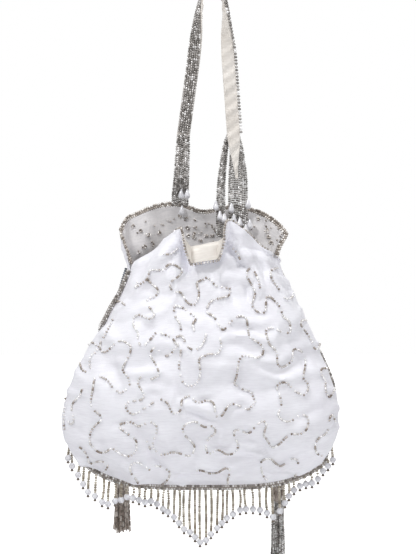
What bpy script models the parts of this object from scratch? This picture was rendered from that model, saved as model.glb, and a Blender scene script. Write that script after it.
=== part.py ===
# Potli bag: a silk pouch gathered at the neck, with a standing back collar, beaded
# trims, a beaded handle on strand bunches, two drawstring tassels and a pearl fringe.
# Lengths are in metres and angles in degrees. +Z is up and -Y faces the viewer.
# The origin lies under the handle's top bend, where the bag hangs.

import math

import bmesh
import bpy
from mathutils import Vector

# Pouch
BODY_WIDTH = 0.221        # seam to seam at the belly
NECK_WIDTH = 0.1266       # seam to seam at the drawn neck
BODY_DEPTH = 0.088        # front to back at the belly
NECK_DEPTH = 0.046        # front to back at the neck
SIDE_HEIGHT = 0.166       # neck line down to the bottom corners
BOTTOM_SAG = 0.019        # dip of the bottom seam below its corners
NECK_DROP = 0.224         # hang point down to the neck line
AXIS_OFFSET = -0.0079     # pouch axis beside the hang point
SIDE_LEAN = 0.0022        # sideways sway of the pouch axis
BELLY_HEIGHT = 0.76       # widest place, as a share of the side height
CORNER_TUCK = 0.27        # how much of the swell the corners give back
DEEPEST_ROW = 0.5         # row of the sheet grid where the pouch is deepest
SEAM_TWIST = 24.0         # turn of the neck against the bottom seam

# Gathers
FRONT_GATHERS = 12.0      # folds in a full turn of the neck, front sheet
BACK_GATHERS = 10.0       # folds in a full turn of the neck, back sheet
GATHER_DEPTH = 0.0018     # height of a gather at the neck
GATHER_FADE = 0.22        # rows over which the gathers die away

# Collars above the neck
BACK_COLLAR_HEIGHT = 0.0475
BACK_COLLAR_ENDS = 0.026  # height of the back collar at its side edges
BACK_COLLAR_DIP = 0.006   # dip in the middle of the back rim
BACK_COLLAR_LEAN = 0.008  # how far the back rim stands behind the neck
BACK_COLLAR_TURN = 12.0   # turn of the back collar's left edge towards the back
LEFT_COLLAR_FLARE = 0.05  # growth of the back collar's half width towards its rim
RIGHT_COLLAR_FLARE = 0.15
BACK_COLLAR_FLAT = 0.1    # how much the back collar loses its curve at the rim
FRONT_COLLAR_LENGTH = 0.022
FRONT_COLLAR_SLIT = 0.06  # how far the front collar's ends draw back from the seams
FRONT_CREST_RISE = 0.0117 # front crest above the neck line, in the middle
LEFT_CREST_DROP = 0.008   # crest below the neck line at the left seam
RIGHT_CREST_DROP = 0.003  # crest below the neck line at the right seam
FLAP_CURL = 168.0         # fold of the collar out and down between the two peaks
LEFT_PEAK = -12.0         # angle of the left end of the flap
RIGHT_PEAK = 15.5         # angle of the right end of the flap
PEAK_WIDTH = 8.0          # angle over which the collar turns from flap to peak
SIDE_TUCK = -95.0         # fold of the collar inwards at the sides

# Cloth
SILK_THICKNESS = 0.0012
LINING_THICKNESS = 0.0008
PIECE_GAP = 0.0003        # clearance between pieces that touch
CASING_DEPTH = 0.0028     # room for the drawstring between silk and lining
FRONT_COLUMNS = (8, 3, 3, 3, 10)  # left side, left peak, flap, right peak, right side
BACK_COLUMNS = 20
FRONT_COLLAR_ROWS = 5
BACK_COLLAR_ROWS = 3
UPPER_ROWS = 5
LOWER_ROWS = 5

# Beaded trims
TRIM_WIDTH = 0.0046
TRIM_THICKNESS = 0.0026
TRIM_WAIST = 0.0016       # thickness in the groove between its two bead rows
RIM_GAP = 0.0007          # clearance between a collar's rim and its trim
PEAK_TRIM_SIZE = 0.3      # share of the front rim's trim that is left at its peaks

# Fringe
STRAND_THICKNESS = 0.0018
PEARL_DIAMETER = 0.0044
FRINGE_PITCH = 0.0049
FRINGE_LENGTH = 0.0085    # shortest strand, trim to pearl
CENTRE_LOBE = 0.034       # extra length of the middle strand
CENTRE_LOBE_WIDTH = 0.040 # half width of the middle lobe
SIDE_LOBE = 0.012         # extra length of the two side lobes
SIDE_LOBE_WIDTH = 0.018
LEFT_LOBE_AT = -0.078
RIGHT_LOBE_AT = 0.061
FRINGE_START_ROW = 0.62   # row where the first strand hangs from the side seam

# Handle
HANDLE_WIDTH = 0.0110
HANDLE_THICKNESS = 0.0022
HANDLE_BEAD_ROWS = 4
HANDLE_BEAD_HEIGHT = 0.0018
HANDLE_DROP = 0.116       # hang point down to the ends of the beaded band
HANDLE_TOP_SPREAD = 0.0175
HANDLE_LEFT_FOOT = 0.0247 # how far the left leg ends beside the hang point
HANDLE_RIGHT_FOOT = 0.0171
HANDLE_LEFT_BACK = 0.012  # how far the left leg ends behind the hang point
HANDLE_RIGHT_BACK = 0.005
HANDLE_TWIST = 90.0
HANDLE_TWIST_LENGTH = 0.075
TAIL_SHARE = 0.68         # part of the way from the beads' end to the collar that lining runs on
TAIL_WIDTH = 0.0026
HANDLE_STATIONS = 37
FOOT_GAP = 0.0012         # beaded band's slanted end down to its strand bunch

# Strand bunches at the feet of the handle
BUNCH_THICKNESS = 0.0040
BUNCH_LEAN = 0.03         # how far the left bunch leans forwards, per metre of its length
BUNCH_MARGIN = 0.009      # width around a bunch in which it stays clear of the collar's folds
OUTER_STRANDS = 5
INNER_STRANDS = 3
LEFT_BUNCH_WIDTH = 0.0145
LEFT_SEAT_ASIDE = 0.003   # how far the left bunch ends beside its foot
LEFT_SEAT_RISE = 0.006
RIGHT_BUNCH_WIDTH = 0.0165
RIGHT_BUNCH_ASIDE = 0.0030
RIGHT_BUNCH_OVERLAP = 0.0080  # rim of the back collar down to the bunch's end
INNER_BUNCH_WIDTH = 0.0070
INNER_BUNCH_ASIDE = -0.0110
INNER_BUNCH_OVERLAP = 0.0205
BUNCH_SPREAD = 0.012      # foot of the handle down to where a right bunch has spread
BUNCH_SETBACK = 0.001
DROP_DIAMETER = 0.0046
DROP_LENGTH = 0.0085

# Teardrop pearls: how far each is beside its bunch's middle and above its end
LEFT_DROPS = ((-0.0026, 0.0070), (0.0028, 0.0060))
RIGHT_DROPS = ((-0.0050, 0.0120), (0.0016, 0.0100), (0.0072, 0.0030))
INNER_DROPS = ((-0.0012, 0.0260), (0.0010, 0.0160))

# Drawstring
STRING_DIAMETER = 0.0016
ROPE_DIAMETER = 0.0066
TASSEL_TOP_WIDTH = 0.0078
TASSEL_HEAD_LENGTH = 0.008
LEFT_TASSEL_WIDTH = 0.0150
LEFT_TASSEL_LENGTH = 0.046
RIGHT_TASSEL_WIDTH = 0.0135
RIGHT_TASSEL_LENGTH = 0.080
TASSEL_FOLDS = 7

# Route of the left rope, from the left of the neck down the back to the left tassel
LEFT_ROPE_ROUTE = [
    (-0.0710, 0.0144, -0.2292),
    (-0.0757, 0.0158, -0.2442),
    (-0.0798, 0.0191, -0.2603),
    (-0.0822, 0.0280, -0.2820),
    (-0.0816, 0.0364, -0.3080),
    (-0.0800, 0.0407, -0.3400),
    (-0.0785, 0.0414, -0.3720),
    (-0.0777, 0.0412, -0.3960),
]

# Route of the right rope, from the right of the neck down the back to the right tassel
RIGHT_ROPE_ROUTE = [
    (0.0497, 0.0166, -0.2297),
    (0.0562, 0.0188, -0.2433),
    (0.0601, 0.0243, -0.2614),
    (0.0608, 0.0338, -0.2840),
    (0.0592, 0.0396, -0.3080),
    (0.0572, 0.0415, -0.3400),
    (0.0560, 0.0417, -0.3720),
    (0.0552, 0.0415, -0.4020),
]

BELLY_HALF = BODY_WIDTH / 2
NECK_HALF = NECK_WIDTH / 2
SILK_INSIDE = PIECE_GAP / 2
SILK_OUTSIDE = SILK_INSIDE + SILK_THICKNESS
LINING_OUTSIDE = -PIECE_GAP / 2
LINING_INSIDE = LINING_OUTSIDE - LINING_THICKNESS
STEP = 0.02
COLUMN_STEP = 0.05


# Meshes and materials

def clear_scene():
    """Remove whatever objects the file holds."""
    for item in list(bpy.data.objects):
        bpy.data.objects.remove(item, do_unlink=True)


def make_material(name, colour, roughness, metallic=0.0):
    """Return a Principled material of one colour."""
    material = bpy.data.materials.new(name)
    material.use_nodes = True
    shader = material.node_tree.nodes["Principled BSDF"]
    shader.inputs["Base Color"].default_value = (*colour, 1.0)
    shader.inputs["Roughness"].default_value = roughness
    shader.inputs["Metallic"].default_value = metallic
    return material


def add_mesh(name, vertices, faces, material, crease=50.0):
    """Add one object from its vertices and faces, facing outwards."""
    mesh = bpy.data.meshes.new(name)
    mesh.from_pydata([tuple(vertex) for vertex in vertices], [], faces)
    shape = bmesh.new()
    shape.from_mesh(mesh)
    caps = [face for face in shape.faces if len(face.verts) > 4]
    bmesh.ops.triangulate(shape, faces=caps, ngon_method="EAR_CLIP")
    bmesh.ops.recalc_face_normals(shape, faces=shape.faces)
    shape.to_mesh(mesh)
    shape.free()
    mesh.shade_smooth()
    mesh.set_sharp_from_angle(angle=math.radians(crease))
    mesh.materials.append(material)
    item = bpy.data.objects.new(name, mesh)
    bpy.context.scene.collection.objects.link(item)
    return item


def loft(name, rings, material):
    """Skin a row of rings of equal count and close both ends."""
    count = len(rings[0])
    vertices = [point for ring in rings for point in ring]
    faces = []
    for level in range(len(rings) - 1):
        for side in range(count):
            nearby = (side + 1) % count
            low = level * count
            high = low + count
            faces.append((low + side, low + nearby, high + nearby))
            faces.append((low + side, high + nearby, high + side))
    faces.append(tuple(reversed(range(count))))
    faces.append(tuple(range(len(vertices) - count, len(vertices))))
    return add_mesh(name, vertices, faces, material)


def unite(item, helper):
    """Join a helper's shapes to an object by a Boolean union."""
    helper.hide_render = True
    helper.display_type = "WIRE"
    union = item.modifiers.new("Union", "BOOLEAN")
    union.operation = "UNION"
    union.solver = "EXACT"
    union.object = helper


def smooth_step(start, end, value):
    """Rise from 0 to 1 between two values with level ends."""
    share = min(max((value - start) / (end - start), 0.0), 1.0)
    return share * share * (3.0 - 2.0 * share)


def smooth_path(points, count):
    """Return a count of points evenly spaced on a smooth curve through the given ones."""
    corners = [Vector(point) for point in points]
    corners = [corners[0] * 2 - corners[1]] + corners + [corners[-1] * 2 - corners[-2]]
    fine = []
    for index in range(1, len(corners) - 2):
        before, start, end, after = corners[index - 1:index + 3]
        for part in range(24):
            share = part / 24
            fine.append(0.5 * (
                2 * start + (end - before) * share
                + (2 * before - 5 * start + 4 * end - after) * share ** 2
                + (3 * start - before - 3 * end + after) * share ** 3))
    fine.append(corners[-2])
    travelled = [0.0]
    for first, second in zip(fine, fine[1:]):
        travelled.append(travelled[-1] + (second - first).length)
    path = []
    index = 0
    for number in range(count):
        wanted = travelled[-1] * number / (count - 1)
        while index < len(fine) - 2 and travelled[index + 1] < wanted:
            index += 1
        stretch = travelled[index + 1] - travelled[index]
        path.append(fine[index].lerp(fine[index + 1], (wanted - travelled[index]) / stretch))
    return path


# Pouch surface, as a function of a column from -1 at the left seam to 1 at the right
# seam, and a row from -1 at the rim through 0 at the neck to 1 at the bottom seam

def half_width(drop):
    """Half width of the pouch at a share of the side height below the neck."""
    if drop <= 0.0:
        swell = 0.0
    elif drop < BELLY_HEIGHT:
        swell = math.sin(math.pi / 2 * (drop / BELLY_HEIGHT) ** 1.2)
    else:
        swell = 1.0 - CORNER_TUCK * ((drop - BELLY_HEIGHT) / (1.0 - BELLY_HEIGHT)) ** 2
    return NECK_HALF + (BELLY_HALF - NECK_HALF) * swell


def half_depth(row):
    """Half depth of the pouch at a row, which passes through zero at the bottom seam."""
    if row <= 0.0:
        return NECK_DEPTH / 2
    if row < DEEPEST_ROW:
        swell = math.sin(math.pi / 2 * (row / DEEPEST_ROW) ** 1.1)
        return (NECK_DEPTH + (BODY_DEPTH - NECK_DEPTH) * swell) / 2
    turn = math.pi / 2 * (row - DEEPEST_ROW) / (1.0 - DEEPEST_ROW)
    return BODY_DEPTH / 2 * math.cos(turn)


def row_drop(row):
    """Share of the side height at a row."""
    if row < DEEPEST_ROW:
        return 0.62 * row / DEEPEST_ROW
    turn = math.pi / 2 * (row - DEEPEST_ROW) / (1.0 - DEEPEST_ROW)
    return 0.62 + 0.38 * math.sin(turn)


def front_column(degrees):
    """Column of the front sheet at an angle round the neck."""
    share = (degrees - SEAM_TWIST) / 90.0
    column = share
    for attempt in range(20):
        column -= (0.75 * column + 0.25 * column ** 3 - share) / (0.75 + 0.75 * column ** 2)
    return column


def column_angle(side, column, row):
    """Angle round the pouch: 0 at the middle of the front, 90 at the right."""
    twist = SEAM_TWIST * (1.0 - smooth_step(0.0, 0.55, row))
    spread = 90.0 * (0.75 * column + 0.25 * column ** 3)
    if side == "front":
        return twist + spread
    return 180.0 + twist - spread


def crest_drop(side, column):
    """Share of the side height at which the body of a sheet begins."""
    end = LEFT_CREST_DROP if column < 0.0 else RIGHT_CREST_DROP
    middle = -FRONT_CREST_RISE if side == "front" else 0.0
    share = min(abs(column), 1.0) ** 1.8
    return (middle + (end - middle) * share) / SIDE_HEIGHT


def body_point(side, column, row):
    """Point of the pouch between its neck and its bottom seam."""
    angle = math.radians(column_angle(side, column, row))
    start = crest_drop(side, column)
    drop = start + (1.0 - start) * row_drop(row)
    width = half_width(drop)
    depth = half_depth(row)
    gathers = FRONT_GATHERS if side == "front" else BACK_GATHERS
    fade = math.exp(-max(row, 0.0) / GATHER_FADE) * (1.0 - min(abs(column), 1.0) ** 6)
    fold = GATHER_DEPTH * fade * math.cos(gathers * angle)
    outward = neck_outward(angle)
    axis = AXIS_OFFSET + SIDE_LEAN * math.cos(2 * math.pi * (drop - 0.27))
    sag = BOTTOM_SAG * max(drop, 0.0) ** 3 * (1.0 - math.sin(angle) ** 4)
    return Vector((
        axis + width * math.sin(angle) + outward.x * fold,
        -depth * math.cos(angle) + outward.y * fold,
        -NECK_DROP - drop * SIDE_HEIGHT - sag))


def neck_outward(angle):
    """Level direction out of the neck's oval at an angle in radians."""
    return Vector((math.sin(angle) / NECK_HALF, -math.cos(angle) / (NECK_DEPTH / 2), 0.0)).normalized()


def front_curl(degrees):
    """Fold of the front collar: outwards above zero and inwards below it."""
    half = PEAK_WIDTH / 2
    from_left = (degrees - LEFT_PEAK + half) / PEAK_WIDTH
    from_right = (RIGHT_PEAK + half - degrees) / PEAK_WIDTH
    flap = min(max(min(from_left, from_right), 0.0), 1.0)
    left = 1.0 - math.exp(min(degrees + 18.0, 0.0) / 18.0)
    right = smooth_step(45.0, 105.0, degrees)
    return FLAP_CURL * flap + SIDE_TUCK * max(left, right)


def front_point(column, row):
    """Point of the front sheet, with its collar above the crest."""
    column *= 1.0 + FRONT_COLLAR_SLIT * min(row, 0.0)
    base = body_point("front", column, max(row, 0.0))
    if row >= 0.0:
        return base
    degrees = column_angle("front", column, 0.0)
    outward = neck_outward(math.radians(degrees))
    curl = math.radians(front_curl(degrees))
    steps = 16
    length = -row * FRONT_COLLAR_LENGTH / steps
    out = 0.0
    rise = 0.0
    for number in range(steps):
        turned = curl * smooth_step(0.0, 0.55, -row * (number + 0.5) / steps)
        out += length * math.sin(turned)
        rise += length * math.cos(turned)
    return base + outward * out + Vector((0.0, 0.0, rise))


def back_point(column, row):
    """Point of the back sheet, with its standing collar above the neck."""
    if row >= 0.0:
        return body_point("back", column, row)
    base = body_point("back", column, 0.0)
    neck_angle = math.radians(column_angle("back", column, 0.0))
    height = -row
    rightwards = (1.0 + column) / 2
    angle = neck_angle - math.radians(BACK_COLLAR_TURN) * (1.0 - rightwards) * height
    ends = min(abs(column), 1.0) ** 2
    rise = BACK_COLLAR_HEIGHT + (BACK_COLLAR_ENDS - BACK_COLLAR_HEIGHT) * ends
    rise -= BACK_COLLAR_DIP * math.exp(-(math.sin(angle) / 0.2) ** 2)
    flare = LEFT_COLLAR_FLARE + (RIGHT_COLLAR_FLARE - LEFT_COLLAR_FLARE) * rightwards
    width = 1.0 + flare * height ** 2
    depth = 1.0 - BACK_COLLAR_FLAT * height
    lean = BACK_COLLAR_LEAN * (1.0 - 0.8 * ends)
    fold = base - neck_oval(neck_angle)
    oval = neck_oval(angle)
    return Vector((
        AXIS_OFFSET + (oval.x - AXIS_OFFSET) * width + fold.x,
        (oval.y + fold.y) * depth + lean * height,
        base.z + rise * height))


def neck_oval(angle):
    """Point of the neck's plain oval at an angle in radians."""
    return Vector((
        AXIS_OFFSET + NECK_HALF * math.sin(angle), -NECK_DEPTH / 2 * math.cos(angle), -NECK_DROP))


def along(point, column, row, column_step, row_step):
    """Unit direction of a surface along its columns or rows."""
    ahead = point(column + column_step, row + row_step)
    behind = point(column - column_step, row - row_step)
    return (ahead - behind).normalized()


def facing(point, column, row, outside):
    """Unit normal of a surface, towards the outside of the pouch."""
    inner_column = min(max(column, -0.985), 0.985) if row > 0.99 else column
    across = along(point, inner_column, row, COLUMN_STEP, 0.0)
    down = along(point, inner_column, row, 0.0, STEP)
    return across.cross(down).normalized() * outside


def surface_grid(point, outside, columns, rows):
    """Return rows of places and normals, with the seam edges drawn back by half a gap."""
    places = []
    normals = []
    for row in rows:
        place_row = []
        normal_row = []
        for column in columns:
            place = point(column, row)
            if row > 0.999:
                place.y = outside * PIECE_GAP / 2
            elif abs(column) > 0.999:
                inwards = along(point, column, row, STEP, 0.0)
                place = place - inwards * math.copysign(PIECE_GAP / 2, column)
            place_row.append(place)
            normal_row.append(facing(point, column, row, outside))
        places.append(place_row)
        normals.append(normal_row)
    return places, normals


def sheet(name, grid, outer, inner, material):
    """Close a sheet of cloth between two offsets, which may differ from row to row."""
    places, normals = grid
    row_count = len(places)
    width = len(places[0])
    vertices = []
    for offsets in (outer, inner):
        for row in range(row_count):
            for column in range(width):
                vertices.append(places[row][column] + normals[row][column] * offsets[row])
    back = row_count * width
    faces = []
    for row in range(row_count - 1):
        for column in range(width - 1):
            corner = row * width + column
            below = corner + width
            halves = ((corner, corner + 1, below + 1), (corner, below + 1, below))
            if column < width // 2:
                halves = ((corner, corner + 1, below), (corner + 1, below + 1, below))
            for first, second, third in halves:
                faces.append((first, second, third))
                faces.append((back + first, back + third, back + second))
    border = list(range(width))
    border += [row * width + width - 1 for row in range(1, row_count)]
    border += [(row_count - 1) * width + column for column in range(width - 2, -1, -1)]
    border += [row * width for row in range(row_count - 2, 0, -1)]
    for first, second in zip(border, border[1:] + border[:1]):
        faces.append((first, back + first, back + second, second))
    return add_mesh(name, vertices, faces, material, crease=80.0)


def even(start, end, count):
    """Return a count of steps from a start to an end, both included."""
    return [start + (end - start) * number / count for number in range(count + 1)]


def sheet_rows(collar_rows):
    """Rows of a sheet from its rim to the bottom seam."""
    collar = even(-1.0, 0.0, collar_rows)
    upper = even(0.0, DEEPEST_ROW, UPPER_ROWS)
    lower = even(DEEPEST_ROW, 1.0, LOWER_ROWS)
    return collar + upper[1:] + lower[1:]


def front_lines():
    """Columns of the front sheet, closer together where the collar turns at a peak."""
    half = PEAK_WIDTH / 2
    stops = (LEFT_PEAK - half, LEFT_PEAK + half, RIGHT_PEAK - half, RIGHT_PEAK + half)
    bounds = [-1.0] + [front_column(stop) for stop in stops] + [1.0]
    lines = [-1.0]
    for start, end, count in zip(bounds, bounds[1:], FRONT_COLUMNS):
        lines += even(start, end, count)[1:]
    return lines


FRONT_ROWS = sheet_rows(FRONT_COLLAR_ROWS)
BACK_ROWS = sheet_rows(BACK_COLLAR_ROWS)
FRONT_LINES = front_lines()
BACK_LINES = even(-1.0, 1.0, BACK_COLUMNS)
STRING_ROW = DEEPEST_ROW / UPPER_ROWS
FRONT_GRID = surface_grid(front_point, -1.0, FRONT_LINES, FRONT_ROWS)
BACK_GRID = surface_grid(back_point, 1.0, BACK_LINES, BACK_ROWS)


# Silk and lining

def build_cloth(silk, satin):
    """Build the two silk panels and their linings, with the casing for the drawstring."""
    parts = (("front", FRONT_GRID, FRONT_ROWS), ("back", BACK_GRID, BACK_ROWS))
    for side, grid, rows in parts:
        casing = [CASING_DEPTH if abs(row - STRING_ROW) < 0.001 else 0.0 for row in rows]
        sheet(side + "_panel", grid, [SILK_OUTSIDE] * len(rows), [SILK_INSIDE] * len(rows), silk)
        sheet(
            side + "_lining", grid,
            [LINING_OUTSIDE - depth for depth in casing],
            [LINING_INSIDE - depth for depth in casing], satin)


# Trims

def trim_ring(start, outwards, thick):
    """Section of a trim: two bead rows with a groove between them."""
    middle = start + outwards * TRIM_WIDTH / 2
    end = start + outwards * TRIM_WIDTH
    edge = thick * TRIM_THICKNESS / 2
    waist = thick * TRIM_WAIST / 2
    return [start + edge, middle + waist, end + edge, end - edge, middle - waist, start - edge]


def rim_trim(name, stations, material, sizes=None):
    """Sweep a trim along stations of an edge, each a place, an outward way and a normal."""
    rings = []
    for number, (place, outwards, normal) in enumerate(stations):
        start = trim_start(place, outwards, normal)
        size = sizes[number] if sizes else 1.0
        rings.append([start + (point - start) * size for point in trim_ring(start, outwards, normal)])
    return loft(name, rings, material)


def peak_size(column):
    """Size of the front trim at a column: it shrinks where the collar turns at a peak."""
    degrees = column_angle("front", column, 0.0)
    near = min(abs(degrees - LEFT_PEAK), abs(degrees - RIGHT_PEAK))
    return PEAK_TRIM_SIZE + (1.0 - PEAK_TRIM_SIZE) * smooth_step(0.4, 1.2, near / PEAK_WIDTH)


def trim_start(place, outwards, normal):
    """Middle of a trim's inner edge, centred on the silk and lining beside it."""
    return place + outwards * RIM_GAP + normal * (SILK_OUTSIDE + LINING_INSIDE) / 2


def rim_station(point, column, outside):
    """Place, outward way and normal on the rim of a collar, square to the rim."""
    place = point(column, -1.0)
    normal = facing(point, column, -1.0, outside)
    across = along(point, column, -1.0, COLUMN_STEP, 0.0)
    outwards = normal.cross(across).normalized()
    if outwards.dot(place - point(column, -1.0 + STEP)) < 0.0:
        outwards.negate()
    return place, outwards, normal


def edge_station(point, end, row, outside):
    """Place, outward way and normal on the side edge of a collar, square to the edge."""
    normal = facing(point, end, row, outside)
    down = along(point, end, row, 0.0, STEP)
    outwards = normal.cross(down).normalized()
    if outwards.dot(along(point, end, row, STEP, 0.0) * end) < 0.0:
        outwards.negate()
    return point(end, row), outwards, normal


def front_rim_stations():
    """Stations along the front collar's rim."""
    return [rim_station(front_point, column, -1.0) for column in FRONT_LINES]


def back_rim_stations():
    """Stations up the left edge of the back collar, along its rim and down the right."""
    rows = [row for row in BACK_ROWS if -0.999 < row < -0.3]
    left = [edge_station(back_point, -1.0, row, 1.0) for row in reversed(rows)]
    right = [edge_station(back_point, 1.0, row, 1.0) for row in rows]
    rim = [rim_station(back_point, column, 1.0) for column in BACK_LINES]
    for index, end in ((0, -1.0), (-1, 1.0)):
        place, upwards, normal = rim[index]
        sideways = edge_station(back_point, end, -1.0, 1.0)[1]
        rim[index] = (place, (upwards + sideways).normalized(), normal)
    return left + rim + right


def seam_way(column, row):
    """Place, outward way and thickness direction of the seam trim."""
    place = front_point(column, row)
    outwards = facing(front_point, column, row, -1.0)
    across = Vector((0.0, -1.0, 0.0))
    if row < 0.99:
        across = along(front_point, column, row, STEP, 0.0) * -math.copysign(1.0, column)
    return place + outwards * (SILK_OUTSIDE + PIECE_GAP), outwards, across


def seam_order(column, row):
    """Order of a spot along the seam, from 0 at the left neck to 4 at the right."""
    return 2.0 + column + math.copysign(1.0 - row, column)


def seam_corners():
    """Spots of the side seams where the silk sheets have their rows."""
    rows = [row for row in FRONT_ROWS if 0.0 <= row < 0.999]
    return [(end, row) for end in (-1.0, 1.0) for row in rows]


def seam_track():
    """Columns and rows along the seam, from the left belly round the bottom to the right."""
    side = even(FRINGE_START_ROW, 1.0, 60)
    track = [(-1.0, row) for row in side[:-1]]
    track += [(column, 1.0) for column in even(-1.0, 1.0, 400)]
    track += [(1.0, row) for row in reversed(side[:-1])]
    return track


def fringe_spots(track):
    """Indices of the track where a strand begins and ends, one pair for each strand."""
    outer = []
    for column, row in track:
        start, outwards, across = seam_way(column, row)
        outer.append((start + outwards * TRIM_WIDTH).x)
    spots = []
    half = STRAND_THICKNESS / 2
    wanted = outer[0] + FRINGE_PITCH / 2
    index = 0
    while wanted + half < outer[-1]:
        while outer[index] < wanted - half:
            index += 1
        first = index
        while outer[index] < wanted + half:
            index += 1
        spots.append((first, index))
        wanted += FRINGE_PITCH
    return spots


def fringe_length(offset):
    """Length of the strand at a distance beside the pouch axis."""
    middle = CENTRE_LOBE * max(0.0, 1.0 - abs(offset) / CENTRE_LOBE_WIDTH) ** 1.3
    left = SIDE_LOBE * max(0.0, 1.0 - abs(offset - LEFT_LOBE_AT) / SIDE_LOBE_WIDTH)
    right = SIDE_LOBE * max(0.0, 1.0 - abs(offset - RIGHT_LOBE_AT) / SIDE_LOBE_WIDTH)
    return FRINGE_LENGTH + middle + left + right


def strand_rings(top, length):
    """Square rings of one fringe strand and its pearl, from below the trim down."""
    thin = STRAND_THICKNESS / 2
    round_half = PEARL_DIAMETER / 2
    centre = top.z - length - round_half
    profile = [
        (thin, top.z - thin), (thin, centre + round_half * 0.9),
        (round_half, centre + round_half * 0.35), (round_half, centre - round_half * 0.35),
        (thin * 0.7, centre - round_half * 1.1)]
    rings = []
    for radius, height in profile:
        rings.append([
            Vector((top.x + side * radius, depth * radius, height))
            for side, depth in ((-1, -1), (-1, 1), (1, 1), (1, -1))])
    return rings


def build_seam_fringe(beads):
    """Build the beaded seam trim with the pearl fringe drawn down from its outer face."""
    track = seam_track()
    pairs = [(track[first], track[second]) for first, second in fringe_spots(track)]
    groups = [(spot,) for spot in seam_corners()]
    groups = [group for group in groups if all(
        not seam_order(*first) - STEP < seam_order(*group[0]) < seam_order(*second) + STEP
        for first, second in pairs)]
    groups = sorted(groups + pairs, key=lambda group: seam_order(*group[0]))
    stations = []
    strands = []
    for group in groups:
        if len(group) == 2:
            strands.append(len(stations))
        stations += group
    rings = [trim_ring(*seam_way(column, row)) for column, row in stations]
    count = len(rings[0])
    vertices = [point for ring in rings for point in ring]
    faces = []
    for level in range(len(rings) - 1):
        for side in range(count):
            low = level * count + side
            nearby = level * count + (side + 1) % count
            if side != 2 or level not in strands:
                faces.append((low, nearby, nearby + count))
                faces.append((low, nearby + count, low + count))
    faces.append(tuple(reversed(range(count))))
    faces.append(tuple(range(len(vertices) - count, len(vertices))))
    for level in strands:
        loop = [level * count + 2, level * count + 3, (level + 1) * count + 3, (level + 1) * count + 2]
        top = sum((vertices[index] for index in loop), Vector()) / 4
        lowest = min(vertices[index].z for index in loop)
        length = fringe_length(top.x - AXIS_OFFSET)
        for ring in strand_rings(Vector((top.x, 0.0, lowest)), length):
            fresh = list(range(len(vertices), len(vertices) + 4))
            vertices += ring
            for side in range(4):
                nearby = (side + 1) % 4
                faces.append((loop[side], loop[nearby], fresh[nearby], fresh[side]))
            loop = fresh
        faces.append(tuple(loop))
    add_mesh("seam_fringe", vertices, faces, beads)


# Handle

def tail_length():
    """Length of the narrowing lining below the beads, from the height of the collar."""
    return TAIL_SHARE * (-HANDLE_DROP - rim_top(-HANDLE_LEFT_FOOT - LEFT_SEAT_ASIDE).z)


def handle_path():
    """Middle line of the handle's band with its two tails, left foot first."""
    reach = HANDLE_DROP
    tail = tail_length()
    top = HANDLE_TOP_SPREAD / 2
    rise = HANDLE_THICKNESS / 2
    left_slope = (HANDLE_LEFT_FOOT - top) / reach
    right_slope = (HANDLE_RIGHT_FOOT - top) / reach
    points = []
    for depth in (reach + tail, reach, reach * 0.66, reach * 0.33, top):
        points.append((-top - left_slope * depth, HANDLE_LEFT_BACK * depth / reach, -depth))
    for turn in (-45.0, 0.0, 45.0):
        angle = math.radians(turn)
        points.append((top * math.sin(angle), 0.0, rise + top * (math.cos(angle) - 1.0)))
    for depth in (top, reach * 0.33, reach * 0.66, reach, reach + tail):
        points.append((top + right_slope * depth, HANDLE_RIGHT_BACK * depth / reach, -depth))
    path = smooth_path(points, HANDLE_STATIONS)
    for index in range(len(path) - 1):
        first, second = path[index:index + 2]
        if (first.z + reach) * (second.z + reach) < 0.0:
            foot = first.lerp(second, (first.z + reach) / (first.z - second.z))
            nearer = index if abs(first.z + reach) < abs(second.z + reach) else index + 1
            path[nearer] = foot
    return path


def handle_frames(path):
    """Place, width direction and outer direction at each point of the handle."""
    frames = []
    travelled = [0.0]
    for first, second in zip(path, path[1:]):
        travelled.append(travelled[-1] + (second - first).length)
    highest = max(range(len(path)), key=lambda index: path[index].z)
    for index, place in enumerate(path):
        before = path[max(index - 1, 0)]
        after = path[min(index + 1, len(path) - 1)]
        forward = (after - before).normalized()
        distance = travelled[highest] - travelled[index]
        share = smooth_step(0.0, HANDLE_TWIST_LENGTH, abs(distance))
        turn = math.radians(math.copysign(HANDLE_TWIST * share, distance))
        level = Vector((0.0, -1.0, 0.0))
        level = (level - forward * level.dot(forward)).normalized()
        other = forward.cross(level)
        across = level * math.cos(turn) + other * math.sin(turn)
        frames.append((place, across, across.cross(forward)))
    return frames


def build_handle(satin, beads):
    """Build the handle's lined band and the bead rows on its outer face."""
    frames = handle_frames(handle_path())
    tail = tail_length()
    half = HANDLE_WIDTH / 2
    thick = HANDLE_THICKNESS / 2
    band = []
    skin = []
    for place, across, outer in frames:
        past = -place.z - HANDLE_DROP
        share = smooth_step(0.0, tail, past)
        reach = half + (TAIL_WIDTH / 2 - half) * share
        band.append([
            place - across * reach - outer * thick, place + across * reach - outer * thick,
            place + across * reach + outer * thick, place - across * reach + outer * thick])
        if past < PIECE_GAP:
            base = place + outer * (thick + PIECE_GAP)
            ring = [base + across * half, base - across * half]
            for number in range(2 * HANDLE_BEAD_ROWS + 1):
                sideways = -half + HANDLE_WIDTH * number / (2 * HANDLE_BEAD_ROWS)
                height = HANDLE_BEAD_HEIGHT * (1.0 if number % 2 else 0.5)
                ring.append(base + across * sideways + outer * height)
            skin.append(ring)
    loft("handle_band", band, satin)
    loft("handle_beads", skin, beads)


def bunch_rings(stations, strands):
    """Rings of a flat bunch of strands, with a ridge for each strand in front."""
    rings = []
    for centre, width in stations:
        half = width / 2
        ring = [centre + Vector((half, 0.0, 0.0)), centre + Vector((-half, 0.0, 0.0))]
        for number in range(2 * strands + 1):
            sideways = -half + width * number / (2 * strands)
            depth = BUNCH_THICKNESS * (1.0 if number % 2 else 0.55)
            ring.append(centre + Vector((sideways, -depth, 0.0)))
        rings.append(ring)
    return rings


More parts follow.
